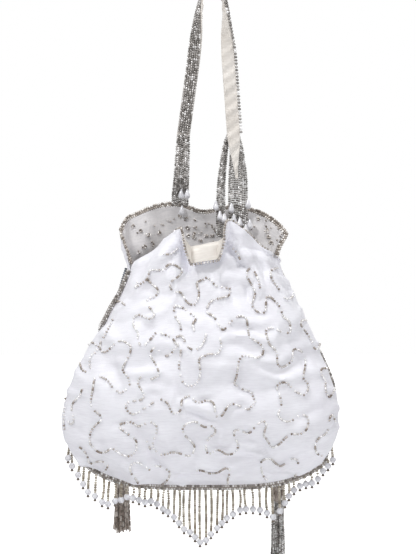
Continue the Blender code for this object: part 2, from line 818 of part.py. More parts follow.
def drop_pearl(name, place, material):
    """Add one drop-shaped pearl with its narrow end up."""
    half = DROP_DIAMETER / 2
    profile = [(0.22, 0.5), (0.75, 0.05), (1.0, -0.25), (0.35, -0.5)]
    rings = []
    for share, height in profile:
        ring = []
        for side in range(6):
            angle = math.radians(60 * side)
            ring.append(place + Vector((
                half * share * math.sin(angle), half * share * math.cos(angle), DROP_LENGTH * height)))
        rings.append(ring)
    return loft(name, rings, material)


def front_of(grid, offset, left, right, low, high):
    """Foremost place of the back sheet's inner face within a window."""
    places, normals = grid
    foremost = []
    margin = BUNCH_MARGIN
    for place_row, normal_row in zip(places, normals):
        for place, normal in zip(place_row, normal_row):
            point = place + normal * offset
            inside = left - margin < point.x < right + margin
            if inside and low - margin < point.z < high + margin:
                foremost.append(point.y)
    return min(foremost)


def rim_top(position):
    """Height and depth of the back rim trim's upper edge at a sideways position."""
    edge = []
    for place, outwards, normal in back_rim_stations():
        ring = trim_ring(trim_start(place, outwards, normal), outwards, normal)
        edge.append(max(ring, key=lambda point: point.z))
    for first, second in zip(edge, edge[1:]):
        if first.x <= position <= second.x:
            share = (position - first.x) / (second.x - first.x)
            return first.lerp(second, share)
    return edge[len(edge) // 2]


def build_left_bunch(beads):
    """Build the strand bunch that stands on the rim of the back collar."""
    foot = Vector((-HANDLE_LEFT_FOOT, HANDLE_LEFT_BACK, -HANDLE_DROP))
    seat = rim_top(foot.x - LEFT_SEAT_ASIDE)
    span = foot.z - seat.z
    stations = []
    for share, width in ((0.0, HANDLE_WIDTH), (0.21, LEFT_BUNCH_WIDTH * 0.9), (0.66, LEFT_BUNCH_WIDTH)):
        below = span * share
        line = HANDLE_LEFT_BACK * (1.0 + below / HANDLE_DROP)
        depth = line - HANDLE_THICKNESS / 2 - 2 * PIECE_GAP - BUNCH_LEAN * below
        aside = foot.x + (seat.x - foot.x) * share
        stations.append((Vector((aside, depth, foot.z - below - FOOT_GAP)), width))
    stations.append((
        Vector((seat.x, seat.y + BUNCH_THICKNESS / 2, seat.z + LEFT_SEAT_RISE)), LEFT_BUNCH_WIDTH * 1.1))
    rings = bunch_rings(stations, OUTER_STRANDS)
    rings.append([
        Vector((point.x, point.y, rim_top(point.x).z + 3 * PIECE_GAP)) for point in rings[-1]])
    bunch = loft("left_handle_strands", rings, beads)
    for number, (aside, above) in enumerate(LEFT_DROPS):
        place = seat + Vector((aside, -BUNCH_THICKNESS * 0.75, above))
        unite(bunch, drop_pearl("left_drop_helper_%d" % number, place, beads))


def build_right_bunch(name, width, aside, overlap, narrow_at, strands, drops, beads):
    """Build one of the two strand bunches that hang inside the back collar."""
    foot = Vector((HANDLE_RIGHT_FOOT, HANDLE_RIGHT_BACK, -HANDLE_DROP))
    back = foot.y + HANDLE_THICKNESS / 2 + PIECE_GAP + BUNCH_THICKNESS
    centre = foot.x + aside
    rim = rim_top(centre).z
    end = rim - overlap
    length = foot.z - end
    wall = front_of(
        BACK_GRID, LINING_INSIDE, centre - width / 2, centre + width / 2, end, rim + BUNCH_MARGIN)
    depth = wall - PIECE_GAP * 2
    whole = RIGHT_BUNCH_WIDTH + INNER_BUNCH_WIDTH + PIECE_GAP
    narrow = HANDLE_WIDTH * width / whole - PIECE_GAP
    start = foot.x + narrow_at * HANDLE_WIDTH / 2 * (1.0 - width / whole)
    spread = start + (centre - start) * 0.4
    stations = [
        (Vector((start, back, foot.z - FOOT_GAP)), narrow),
        (Vector((spread, back + BUNCH_SETBACK, foot.z - BUNCH_SPREAD)), width * 0.7),
        (Vector((centre, (back + depth) / 2, foot.z - length * 0.5)), width * 0.95),
        (Vector((centre, depth, foot.z - length * 0.8)), width),
        (Vector((centre, depth, end)), width * 0.95)]
    bunch = loft(name, bunch_rings(stations, strands), beads)
    for number, (beside, above) in enumerate(drops):
        place = Vector((centre + beside, depth - BUNCH_THICKNESS * 1.1, end + above))
        unite(bunch, drop_pearl("%s_drop_helper_%d" % (name, number), place, beads))


def build_bunches(beads):
    """Build the strand bunches that tie the handle to the back collar."""
    build_left_bunch(beads)
    build_right_bunch(
        "right_handle_strands", RIGHT_BUNCH_WIDTH, RIGHT_BUNCH_ASIDE, RIGHT_BUNCH_OVERLAP, 1.0,
        OUTER_STRANDS, RIGHT_DROPS, beads)
    build_right_bunch(
        "inner_handle_strands", INNER_BUNCH_WIDTH, INNER_BUNCH_ASIDE, INNER_BUNCH_OVERLAP, -1.0,
        INNER_STRANDS, INNER_DROPS, beads)


# Drawstring

def tube(name, path, diameter, sides, material):
    """Add a round cord along a path as a curve with filled caps."""
    curve = bpy.data.curves.new(name, "CURVE")
    curve.dimensions = "3D"
    curve.bevel_depth = diameter / 2
    curve.bevel_resolution = sides // 4
    curve.render_resolution_u = 0
    curve.use_fill_caps = True
    spline = curve.splines.new("POLY")
    spline.points.add(len(path) - 1)
    for point, place in zip(spline.points, path):
        point.co = (*place, 1.0)
    curve.materials.append(material)
    item = bpy.data.objects.new(name, curve)
    bpy.context.scene.collection.objects.link(item)
    return item


def string_path(grid, rows):
    """Middle line of the drawstring inside the casing of one sheet."""
    places, normals = grid
    index = min(range(len(rows)), key=lambda number: abs(rows[number] - STRING_ROW))
    depth = (SILK_INSIDE + LINING_OUTSIDE - CASING_DEPTH) / 2
    path = [place + normal * depth for place, normal in zip(places[index], normals[index])]
    return path[1:-1]


def build_tassel(name, top, width, length, beads):
    """Build a tassel: a round head that opens into folded strands."""
    head = TASSEL_TOP_WIDTH / 2
    levels = (
        (0.0, head * 0.8, 0.0), (TASSEL_HEAD_LENGTH * 0.4, head, 0.0), (TASSEL_HEAD_LENGTH, head * 0.8, 0.0),
        (length * 0.45, width * 0.42, 0.12), (length, width * 0.46, 0.22))
    rings = []
    for below, radius, fold in levels:
        ring = []
        for side in range(2 * TASSEL_FOLDS):
            angle = math.pi * side / TASSEL_FOLDS
            reach = radius * (1.0 + fold * (1.0 if side % 2 else -1.0))
            ring.append(top + Vector((reach * math.sin(angle), reach * 0.75 * math.cos(angle), -below)))
        rings.append(ring)
    return loft(name, rings, beads)


def build_drawstring(cord, rope, beads):
    """Build the drawstring in its casing, its two bead ropes and their tassels."""
    tube("front_drawstring", string_path(FRONT_GRID, FRONT_ROWS), STRING_DIAMETER, 8, cord)
    tube("back_drawstring", string_path(BACK_GRID, BACK_ROWS), STRING_DIAMETER, 8, cord)
    ends = (
        ("left", LEFT_ROPE_ROUTE, LEFT_TASSEL_WIDTH, LEFT_TASSEL_LENGTH),
        ("right", RIGHT_ROPE_ROUTE, RIGHT_TASSEL_WIDTH, RIGHT_TASSEL_LENGTH))
    for side, route, width, length in ends:
        tube(side + "_rope", smooth_path(route, 16), ROPE_DIAMETER, 8, rope)
        top = Vector(route[-1]) - Vector((0.0, 0.0, PIECE_GAP))
        build_tassel(side + "_tassel", top, width, length, beads)


clear_scene()
SILK = make_material("Raw silk, ivory white", (0.86, 0.83, 0.82), 0.55)
SATIN = make_material("Satin lining, cream", (0.78, 0.70, 0.62), 0.42)
SILVER = make_material("Glass beads, silver lined", (0.52, 0.51, 0.50), 0.25, 0.7)
TAUPE = make_material("Glass beads, taupe", (0.38, 0.32, 0.26), 0.35, 0.2)
STEEL = make_material("Glass beads, blue grey", (0.20, 0.22, 0.27), 0.3, 0.4)
THREAD = make_material("Cotton cord, white", (0.80, 0.78, 0.75), 0.8)

build_cloth(SILK, SATIN)
rim_trim("front_rim_trim", front_rim_stations(), SILVER, [peak_size(line) for line in FRONT_LINES])
rim_trim("back_rim_trim", back_rim_stations(), SILVER)
build_seam_fringe(TAUPE)
build_handle(SATIN, SILVER)
build_bunches(SILVER)
build_drawstring(THREAD, STEEL, TAUPE)
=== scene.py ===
# %% [markdown]
# # A potli bag in beaded silk
#
# A potli is a small drawstring pouch that is carried by hand at weddings and parties.
# This one is white silk with lines of silver glass beads, a beaded loop handle, a fringe
# of pearls along its bottom seam and two beaded ropes with tassels at its back.
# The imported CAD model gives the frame: where every piece is, and how large. Each piece of
# this scene is made in that frame, in metres, and stands for the CAD nodes that it names.

# %% Load the frame
import math
import random

import bmesh
import bpy
import numpy as np
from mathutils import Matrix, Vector
from mathutils.bvhtree import BVHTree


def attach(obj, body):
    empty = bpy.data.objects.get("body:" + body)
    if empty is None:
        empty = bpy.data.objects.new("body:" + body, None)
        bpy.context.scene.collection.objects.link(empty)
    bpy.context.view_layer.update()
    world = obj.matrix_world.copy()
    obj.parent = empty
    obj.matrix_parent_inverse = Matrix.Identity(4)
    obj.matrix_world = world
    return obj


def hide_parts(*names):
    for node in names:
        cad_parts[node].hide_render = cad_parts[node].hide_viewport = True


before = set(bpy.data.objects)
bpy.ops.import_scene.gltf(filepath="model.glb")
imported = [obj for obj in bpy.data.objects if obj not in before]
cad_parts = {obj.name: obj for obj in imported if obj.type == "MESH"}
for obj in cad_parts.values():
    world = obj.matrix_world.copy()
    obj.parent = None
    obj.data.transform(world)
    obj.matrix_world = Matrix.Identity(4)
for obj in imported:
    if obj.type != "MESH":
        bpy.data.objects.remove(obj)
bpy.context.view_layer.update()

# %% [markdown]
# ## The camera
#
# A long lens far away keeps the pouch's round belly from swelling towards the viewer. The
# camera looks level at the middle of the picture. One picture dot is 0.836 mm at the bag's
# middle plane, which gives the lens and, below, the way from a dot to a point on the bag.

# %% Camera
PICTURE = (416, 554)  # dots across and down
DOT = 0.000836  # size of a dot at the bag's middle plane
MIDDLE_DOT = (213.0, -6.0)  # the dot of the frame's origin
DISTANCE = 2.0
SENSOR_WIDTH = 36.0
FRONTWARDS = Vector((0.0, -1.0, 0.0))


def dot_place(across, down):
    """Point of the bag's middle plane behind a dot of the picture."""
    return Vector(((across - MIDDLE_DOT[0]) * DOT, 0.0, (MIDDLE_DOT[1] - down) * DOT))


def new_object(name, data):
    """Make an object and put it into the scene."""
    item = bpy.data.objects.new(name, data)
    bpy.context.scene.collection.objects.link(item)
    return item


camera = new_object("camera", bpy.data.cameras.new("camera"))
camera.data.sensor_width = SENSOR_WIDTH
camera.data.lens = SENSOR_WIDTH * DISTANCE / (PICTURE[1] * DOT)
camera.location = dot_place(PICTURE[0] / 2, PICTURE[1] / 2) + Vector((0.0, -DISTANCE, 0.0))
camera.rotation_euler = (math.pi / 2, 0.0, 0.0)
bpy.context.scene.camera = camera
EYE = camera.location.copy()
print("the lens is", round(camera.data.lens, 1), "mm")

# %% [markdown]
# ## Helpers for materials and node trees
#
# Colours are chosen as the eye sees them, in sRGB hex, while a shader reckons in linear
# light. One function turns the one into the other. A second one adds a node with its
# settings, its values and its links, for shader trees and Geometry Nodes alike.

# %% Colours and nodes
def linear(code):
    """Turn an sRGB hex colour into the linear one that a shader takes."""
    shares = [int(code[start:start + 2], 16) / 255 for start in (1, 3, 5)]
    light = [share / 12.92 if share <= 0.04045 else ((share + 0.055) / 1.055) ** 2.4 for share in shares]
    return (*light, 1.0)


def add_node(tree, kind, inputs=None, **settings):
    """Add a node, and give each of its inputs a value or a link."""
    made = tree.nodes.new(kind)
    for name, value in settings.items():
        setattr(made, name, value)
    for name, source in (inputs or {}).items():
        if isinstance(source, bpy.types.NodeSocket):
            tree.links.new(source, made.inputs[name])
        else:
            made.inputs[name].default_value = source
    return made


def new_material(name, colour, roughness, **settings):
    """Start a material: its node tree, and its shader with plain values on its own sockets."""
    material = bpy.data.materials.new(name)
    material.use_nodes = True
    shader = material.node_tree.nodes["Principled BSDF"]
    shader.inputs["Base Color"].default_value = linear(colour)
    shader.inputs["Roughness"].default_value = roughness
    for socket, value in settings.items():
        shader.inputs[socket.replace("_", " ")].default_value = value
    return material, material.node_tree, shader


def set_ramp(ramp, stops):
    """Give a colour ramp its stops, each a place and an sRGB colour."""
    while len(ramp.elements) < len(stops):
        ramp.elements.new(0.5)
    for element, (place, code) in zip(ramp.elements, stops):
        element.position = place
        element.color = linear(code)


# %% [markdown]
# ## Silk and satin
#
# The shell is dupion silk: a plain weave whose cross threads are uneven, so that soft
# slubs run across it. A thread is about 0.25 mm, too fine to show, and is drawn 0.7 mm
# wide. The lining is satin, whose long floats lie side by side and give a smoother shine.
# Both patterns follow the cloth through its UV map, which is in metres of flat cloth.

# %% Cloth materials
WAVE_LENGTH = math.pi / 10  # length of one wave of a Wave Texture of scale 1


def weave_material(name, light, shade, roughness, thread, slub, strength):
    """Woven cloth: two crossed sets of threads with slubs, and a colour that drifts."""
    material, tree, shader = new_material(name, light, roughness, Sheen_Weight=0.08, Sheen_Roughness=0.4)
    uv = add_node(tree, "ShaderNodeUVMap", uv_map="cloth")
    heights = []
    for direction in ("X", "Y"):
        wave = add_node(tree, "ShaderNodeTexWave", {
            "Vector": uv.outputs[0], "Scale": WAVE_LENGTH / thread, "Distortion": 1.2,
            "Detail": 1.0, "Detail Scale": 0.4}, bands_direction=direction)
        heights.append(wave.outputs["Fac"])
    woven = add_node(tree, "ShaderNodeMath", {0: heights[0], 1: heights[1]}, operation="MULTIPLY")
    stretched = add_node(tree, "ShaderNodeMapping", {
        "Vector": uv.outputs[0], "Scale": (1.0 / (slub * 9.0), 1.0 / slub, 1.0)})
    slubs = add_node(tree, "ShaderNodeTexNoise", {
        "Vector": stretched.outputs[0], "Scale": 1.0, "Detail": 3.0, "Roughness": 0.6})
    both = add_node(tree, "ShaderNodeMath", {
        0: woven.outputs[0], 1: slubs.outputs["Fac"]}, operation="ADD")
    bump = add_node(tree, "ShaderNodeBump", {
        "Height": both.outputs[0], "Strength": strength, "Distance": 0.0002})
    tree.links.new(bump.outputs[0], shader.inputs["Normal"])
    drift = add_node(tree, "ShaderNodeTexNoise", {
        "Vector": uv.outputs[0], "Scale": 22.0, "Detail": 4.0, "Roughness": 0.55})
    blend = add_node(tree, "ShaderNodeMath", {
        0: drift.outputs["Fac"], 1: slubs.outputs["Fac"]}, operation="MULTIPLY")
    tones = add_node(tree, "ShaderNodeValToRGB", {"Fac": blend.outputs[0]})
    set_ramp(tones.color_ramp, ((0.12, shade), (0.32, light)))
    tree.links.new(tones.outputs[0], shader.inputs["Base Color"])
    return material


dupion_silk = weave_material(
    "dupion silk, hand woven, white", "#F8F8FE", "#ECEBF2",
    roughness=0.55, thread=0.0007, slub=0.0011, strength=0.35)
# The ivory lining is greyed down to paint the shade that lies inside the back collar.
shaded_silk_lining = weave_material(
    "silk lining, machine woven, ivory, greyed as painted shade", "#DDDADB", "#CDCBCD",
    roughness=0.5, thread=0.0005, slub=0.0016, strength=0.15)
satin_lining = weave_material(
    "satin lining, machine woven, cream", "#EAE5DF", "#DCD5CD",
    roughness=0.36, thread=0.0005, slub=0.0016, strength=0.15)

# %% [markdown]
# ## Glass beads, pearls and thread
#
# Seed beads are short slices of drawn glass tube, tumbled until their rims are round. A
# silver lining in the bore sends most light back, so that one bead is bright and its
# neighbour dark. Here that light is painted: each bead carries a random number, which picks
# its tone, and for the silver-lined beads the tones run from a dark painted reflection to a
# white painted glint. Fringe and tassel beads are smoke-coloured glass. The pearls are resin
# with a lacquer.

# %% Bead materials
def bead_material(name, stops, roughness, metal):
    """Glass beads whose tone is picked by each bead's own random number; for silver-lined beads the dark and
    white stops are painted reflections and painted glints.
    """
    material, tree, shader = new_material(
        name, stops[-1][1], roughness, Metallic=metal, Coat_Weight=0.25, Coat_Roughness=0.1)
    tone_and_glint = add_node(tree, "ShaderNodeAttribute", attribute_name="tone_and_glint")
    tones = add_node(tree, "ShaderNodeValToRGB", {"Fac": tone_and_glint.outputs["Fac"]})
    set_ramp(tones.color_ramp, stops)
    tree.links.new(tones.outputs[0], shader.inputs["Base Color"])
    return material


# The silver-lined kinds run from a dark painted reflection to a white painted glint, and each bead's random
# number picks where it lies between them.
silver_beads = bead_material("silver-lined glass seed beads, tumbled, painted glints", (
    (0.0, "#67635F"), (0.3, "#A19D99"), (0.65, "#D0CDCA"), (1.0, "#FFFFFF")), 0.25, 0.2)
handle_glass = bead_material("silver-lined glass seed beads, smoked, painted glints", (
    (0.0, "#6F6B67"), (0.35, "#96928E"), (0.75, "#BCB8B5"), (1.0, "#F8F7F7")), 0.22, 0.25)
rim_beads = bead_material("silver-lined glass seed beads, tarnished, painted glints", (
    (0.0, "#766C64"), (0.35, "#A89F97"), (0.7, "#D0C9C2"), (1.0, "#FCFAF8")), 0.25, 0.2)
embroidery_beads = bead_material("silver-lined bugle beads, cut, painted glints", (
    (0.0, "#85786D"), (0.2, "#B3AAA2"), (0.5, "#E2DFDD"), (1.0, "#FFFFFF")), 0.2, 0.2)
smoke_beads = bead_material("smoke glass beads, fire polished", (
    (0.0, "#877C6B"), (0.5, "#ACA291"), (1.0, "#D8D0C4")), 0.35, 0.0)
tassel_beads = bead_material("smoke glass bugle beads, drawn", (
    (0.0, "#85776C"), (0.5, "#A6998F"), (1.0, "#D6CEC6")), 0.3, 0.0)
# The blue-grey is darkened to paint the shade that falls on the ropes and tassel caps behind the pouch.
shaded_steel_beads = bead_material("blue-grey glass seed beads, tumbled", (
    (0.0, "#353A44"), (0.5, "#5D6470"), (0.85, "#868C97"), (1.0, "#C9CDD3")), 0.3, 0.1)
# A dark strip under the trims: its taupe paints the shade in the gaps between the beads.
trim_gap_shade = new_material("strip under the trims, painted shade, taupe", "#8F867E", 0.8)[0]
pearl_lacquer, pearl_tree, pearl_shader = new_material(
    "resin pearls, lacquered", "#DDDBE0", 0.35, Coat_Weight=0.35, Coat_Roughness=0.08)
pearl_noise = add_node(pearl_tree, "ShaderNodeTexNoise", {"Scale": 350.0, "Detail": 2.0})
pearl_tree.links.new(
    add_node(pearl_tree, "ShaderNodeTexCoord").outputs["Object"], pearl_noise.inputs["Vector"])
pearl_tones = add_node(pearl_tree, "ShaderNodeValToRGB", {"Fac": pearl_noise.outputs["Fac"]})
set_ramp(pearl_tones.color_ramp, ((0.35, "#D6D5DA"), (0.6, "#F0F0F5")))
pearl_tree.links.new(pearl_tones.outputs[0], pearl_shader.inputs["Base Color"])

# %% [markdown]
# ## One tree for every string of beads
#
# Embroidery, trims, fringe and bunches are all beads strung along a line. The tree takes
# the lines as loose edges, with the direction that each point faces kept as an attribute.
# It steps along them, sets a bead or a longer bugle at each step, turned along the line,
# and gives each one a random number that picks its tone and, for silver-lined beads, its
# painted glint. Real instances would be lost in an export, so they are realised before the
# material is set.

# %% Bead tree
def tree_inputs(tree, sockets):
    """Give a node group its geometry sockets and its named inputs."""
    tree.interface.new_socket(name="Geometry", in_out="INPUT", socket_type="NodeSocketGeometry")
    for name, kind in sockets:
        tree.interface.new_socket(name=name, in_out="INPUT", socket_type="NodeSocket" + kind)
    tree.interface.new_socket(name="Geometry", in_out="OUTPUT", socket_type="NodeSocketGeometry")
    return add_node(tree, "NodeGroupInput").outputs


def finish_tree(tree, instances, given):
    """Give each instance a random number for its tone and painted glint, realise and smooth them, and set
    their material.
    """
    tone_and_glint = add_node(tree, "FunctionNodeRandomValue", {"Seed": given["Seed"]}, data_type="FLOAT")
    tinted = add_node(tree, "GeometryNodeStoreNamedAttribute", {
        "Geometry": instances, "Name": "tone_and_glint", "Value": tone_and_glint.outputs[1]},
        data_type="FLOAT", domain="INSTANCE")
    real = add_node(tree, "GeometryNodeRealizeInstances", {"Geometry": tinted.outputs[0]})
    smooth = add_node(tree, "GeometryNodeSetShadeSmooth", {"Geometry": real.outputs[0]})
    painted = add_node(tree, "GeometryNodeSetMaterial", {
        "Geometry": smooth.outputs[0], "Material": given["Material"]})
    add_node(tree, "NodeGroupOutput", {"Geometry": painted.outputs[0]})


def bead_string_tree():
    """Seed beads and bugles strung along lines."""
    tree = bpy.data.node_groups.new("beads along lines", "GeometryNodeTree")
    given = tree_inputs(tree, (
        ("Spacing", "Float"), ("Diameter", "Float"), ("Length", "Float"), ("Bugle share", "Float"),
        ("Bugle diameter", "Float"), ("Bugle length", "Float"), ("Kept", "Float"), ("Seed", "Int"),
        ("Material", "Material")))
    line = add_node(tree, "GeometryNodeMeshToCurve", {"Mesh": given["Geometry"]})
    steps = add_node(tree, "GeometryNodeResampleCurve", {
        "Curve": line.outputs[0], "Length": given["Spacing"]}, mode="LENGTH")
    tangent = add_node(tree, "GeometryNodeInputTangent")
    facing = add_node(tree, "GeometryNodeInputNamedAttribute", {"Name": "facing"}, data_type="FLOAT_VECTOR")
    turn = add_node(tree, "FunctionNodeAxesToRotation", {
        "Primary Axis": tangent.outputs[0], "Secondary Axis": facing.outputs[0]},
        primary_axis="Z", secondary_axis="X")
    bugle = add_node(tree, "FunctionNodeRandomValue", {
        "Probability": given["Bugle share"], "Seed": given["Seed"]}, data_type="BOOLEAN")
    seed_shape = add_node(tree, "GeometryNodeMeshUVSphere", {"Segments": 8, "Rings": 5, "Radius": 0.5})
    bugle_shape = add_node(tree, "GeometryNodeMeshCylinder", {"Vertices": 7, "Radius": 0.5, "Depth": 1.0})
    other_seed = add_node(tree, "ShaderNodeMath", {0: given["Seed"], 1: 7.0}, operation="ADD")
    kept = add_node(tree, "FunctionNodeRandomValue", {
        "Probability": given["Kept"], "Seed": other_seed.outputs[0]}, data_type="BOOLEAN")
    kinds = []
    for shape, thick, long in (
            (seed_shape, "Diameter", "Length"), (bugle_shape, "Bugle diameter", "Bugle length")):
        size = add_node(tree, "ShaderNodeCombineXYZ", {
            "X": given[thick], "Y": given[thick], "Z": given[long]})
        kinds.append(add_node(tree, "GeometryNodeInstanceOnPoints", {
            "Points": steps.outputs[0], "Instance": shape.outputs[0],
            "Rotation": turn.outputs[0], "Scale": size.outputs[0]}))
    for kind, operation in zip(kinds, ("NIMPLY", "AND")):
        chosen = add_node(tree, "FunctionNodeBooleanMath", {
            0: kept.outputs[3], 1: bugle.outputs[3]}, operation=operation)
        tree.links.new(chosen.outputs[0], kind.inputs["Selection"])
    joined = add_node(tree, "GeometryNodeJoinGeometry")
    for kind in kinds:
        tree.links.new(kind.outputs[0], joined.inputs[0])
    finish_tree(tree, joined.outputs[0], given)
    return tree


bead_strings = bead_string_tree()
print("the bead tree has", len(bead_strings.nodes), "nodes")

# %% [markdown]
# ## From lines to pieces
#
# The lines of one piece are gathered as lists of points, each with the way that it faces.
# They become loose edges, the tree turns them into beads, and the evaluated result is
# taken as a plain mesh, so that no modifier is left on the piece.

# %% Lines and pieces
def line_object(name, lines):
    """Make an object of loose edges from lines of (place, facing) pairs."""
    vertices = []
    facings = []
    edges = []
    for line in lines:
        start = len(vertices)
        vertices += [tuple(place) for place, facing in line]
        facings += [component for place, facing in line for component in facing]
        edges += [(start + step, start + step + 1) for step in range(len(line) - 1)]
    mesh = bpy.data.meshes.new(name)
    mesh.from_pydata(vertices, edges, [])
    attribute = mesh.attributes.new("facing", "FLOAT_VECTOR", "POINT")
    attribute.data.foreach_set("vector", facings)
    return new_object(name, mesh)


def run_tree(item, tree, values):
    """Run a node group on an object and keep its result as the object's plain mesh."""
    modifier = item.modifiers.new("nodes", "NODES")
    modifier.node_group = tree
    for socket in tree.interface.items_tree:
        if socket.in_out == "INPUT" and socket.name in values:
            modifier[socket.identifier] = values[socket.name]
    graph = bpy.context.evaluated_depsgraph_get()
    made = bpy.data.meshes.new_from_object(item.evaluated_get(graph))
    item.modifiers.remove(modifier)
    before = item.data
    item.data = made
    bpy.data.meshes.remove(before)
    triangles = sum(len(face.vertices) - 2 for face in made.polygons)
    print(item.name, "has", triangles, "triangles")
    return item


def string_beads(name, lines, material, pitch, thick, long=None, bugles=0.0, bugle=(0.001, 0.003),
                 kept=1.0, seed=1):
    """Make one piece of beads strung along lines, each of which starts a little further on."""
    chance = random.Random(seed)
    for line in lines:
        (place, facing), (following, _facing) = line[:2]
        share = min(0.9, chance.random() * pitch / max((following - place).length, pitch))
        line[0] = (place.lerp(following, share), facing)
        (place, facing), (before, _facing) = line[-1], line[-2]
        share = min(0.9, chance.random() * pitch / max((before - place).length, pitch))
        line[-1] = (place.lerp(before, share), facing)
    # A length that is not given makes a seed bead of the usual squat shape
    return run_tree(line_object(name, lines), bead_strings, {
        "Spacing": pitch, "Diameter": thick, "Length": long or thick * 0.8, "Bugle share": bugles,
        "Bugle diameter": bugle[0], "Bugle length": bugle[1], "Kept": kept, "Seed": seed,
        "Material": material})


def stand_for(item, slot, *nodes):
    """Let a piece ride with the bag, in the place of CAD nodes."""
    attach(item, "root")
    if nodes:
        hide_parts(*nodes)
    return item


# %% [markdown]
# ## The two ropes and their tassels
#
# The drawstring's ends are covered with blue-grey beads, sewn round a cotton core in a
# spiral, and hang behind the pouch, each with a tassel of bugle beads. Each rope follows a
# fixed route: it lies on the back, then drops to where the photograph shows its tassel.

# %% Rope routes
ROPE_POINTS = 30
CURVE_STEPS = 24  # steps of a smooth curve between two given points
LEFT_ROPE_ROUTE = [
    (-0.0710, 0.0144, -0.2292), (-0.0757, 0.0158, -0.2442), (-0.0798, 0.0191, -0.2603),
    (-0.0822, 0.0280, -0.2820), (-0.0816, 0.0364, -0.3080), (-0.0800, 0.0407, -0.3400),
    (-0.0785, 0.0414, -0.3720), (-0.0777, 0.0412, -0.3960)]
RIGHT_ROPE_ROUTE = [
    (0.0497, 0.0166, -0.2297), (0.0562, 0.0188, -0.2433), (0.0601, 0.0243, -0.2614),
    (0.0608, 0.0338, -0.2840), (0.0592, 0.0396, -0.3080), (0.0572, 0.0415, -0.3400),
    (0.0560, 0.0417, -0.3720), (0.0552, 0.0415, -0.4020)]


def smooth_path(points, count):
    """Return evenly spaced points on a smooth curve through the given ones."""
    corners = [Vector(point) for point in points]
    corners = [corners[0] * 2 - corners[1]] + corners + [corners[-1] * 2 - corners[-2]]
    fine = []
    for index in range(1, len(corners) - 2):
        before, start, end, after = corners[index - 1:index + 3]
        for step in range(CURVE_STEPS):
            share = step / CURVE_STEPS
            fine.append(0.5 * (
                2 * start + (end - before) * share
                + (2 * before - 5 * start + 4 * end - after) * share ** 2
                + (3 * start - before - 3 * end + after) * share ** 3))
    fine.append(corners[-2])
    return even_steps(fine, count)


def even_steps(points, count):
    """Return evenly spaced points along a polyline."""
    places = np.array([tuple(point) for point in points])
    travelled = np.concatenate(([0.0], np.cumsum(np.linalg.norm(np.diff(places, axis=0), axis=1))))
    wanted = np.linspace(0.0, travelled[-1], count)
    steps = [np.interp(wanted, travelled, places[:, axis]) for axis in range(3)]
    return [Vector(place) for place in zip(*steps)]


def path_length(points):
    """Length of a polyline in metres."""
    return sum((second - first).length for first, second in zip(points, points[1:]))


rope_paths = {
    "left": smooth_path(LEFT_ROPE_ROUTE, ROPE_POINTS),
    "right": smooth_path(RIGHT_ROPE_ROUTE, ROPE_POINTS)}
for side, path in rope_paths.items():
    print("the", side, "rope is", round(1000 * path_length(path), 1), "mm long")

# %% [markdown]
# A bead rope repeats a rule: each bead sits a little further along and a little further
# round than the last. The tree steps along the route, pushes each step out from it along
# a direction that turns with the step's number, and sets a bead there.

# %% Bead ropes
def bead_rope_tree():
    """Seed beads wound in a spiral round a line."""
    tree = bpy.data.node_groups.new("beads round a rope", "GeometryNodeTree")
    given = tree_inputs(tree, (
        ("Step", "Float"), ("Around", "Float"), ("Radius", "Float"), ("Diameter", "Float"),
        ("Seed", "Int"), ("Material", "Material")))
    line = add_node(tree, "GeometryNodeMeshToCurve", {"Mesh": given["Geometry"]})
    steps = add_node(tree, "GeometryNodeCurveToPoints", {
        "Curve": line.outputs[0], "Length": given["Step"]}, mode="LENGTH")
    number = add_node(tree, "GeometryNodeInputIndex")
    angle = add_node(tree, "ShaderNodeMath", {
        0: number.outputs[0], 1: given["Around"]}, operation="MULTIPLY")
    turned = add_node(tree, "ShaderNodeVectorRotate", {
        "Vector": steps.outputs["Normal"], "Axis": steps.outputs["Tangent"], "Angle": angle.outputs[0]},
        rotation_type="AXIS_ANGLE")
    push = add_node(tree, "ShaderNodeVectorMath", {
        0: turned.outputs[0], "Scale": given["Radius"]}, operation="SCALE")
    pushed = add_node(tree, "GeometryNodeSetPosition", {
        "Geometry": steps.outputs["Points"], "Offset": push.outputs[0]})
    bead = add_node(tree, "GeometryNodeMeshUVSphere", {"Segments": 6, "Rings": 4, "Radius": 0.5})
    size = add_node(tree, "ShaderNodeCombineXYZ", {
        "X": given["Diameter"], "Y": given["Diameter"], "Z": given["Diameter"]})
    beads = add_node(tree, "GeometryNodeInstanceOnPoints", {
        "Points": pushed.outputs[0], "Instance": bead.outputs[0], "Rotation": steps.outputs["Rotation"],
        "Scale": size.outputs[0]})
    finish_tree(tree, beads.outputs[0], given)
    return tree


BEADS_AROUND = 8.4  # beads in one turn of the spiral

# The ropes' blue-grey beads are darkened as painted shade for their place behind the pouch.
bead_rope = bead_rope_tree()
ropes = {}
for side, path in rope_paths.items():
    line = [(place, FRONTWARDS) for place in path]
    ropes[side] = run_tree(line_object(side + "_bead_rope", [line]), bead_rope, {
        "Step": 0.00021, "Around": 2 * math.pi / BEADS_AROUND, "Radius": 0.0024, "Diameter": 0.0018,
        "Seed": 4, "Material": shaded_steel_beads})
    stand_for(ropes[side], "blue_grey_cord", side + "_rope")

# %% [markdown]
# A tassel is a bunch of bead strands gathered under a beaded cap. The left one is all
# bugles. The right one, which is longer, ends in silver seed beads. Some strands hang in
# front of others, so they are spread over a small disc and part a little on the way down.

# %% Tassels
CAP_RADIUS = 0.0036
CAP_LEVELS = 6  # rings of beads
CAP_BEADS = 14  # beads in a ring
CAP_TOP = 0.0009  # from the rope's end down to the first ring
CAP_PITCH = 0.0014  # from ring to ring
CAP_HEIGHT = 0.0082
STRAND_DISC = (0.0048, 0.0032)  # half width and half depth of the strands under the cap
STRAND_SWAY = 0.0006
UNEVEN_ENDS = 0.07  # share of its length by which a strand may be short
GOLDEN_ANGLE = 2.399963  # the turn that spreads strands evenly over a disc


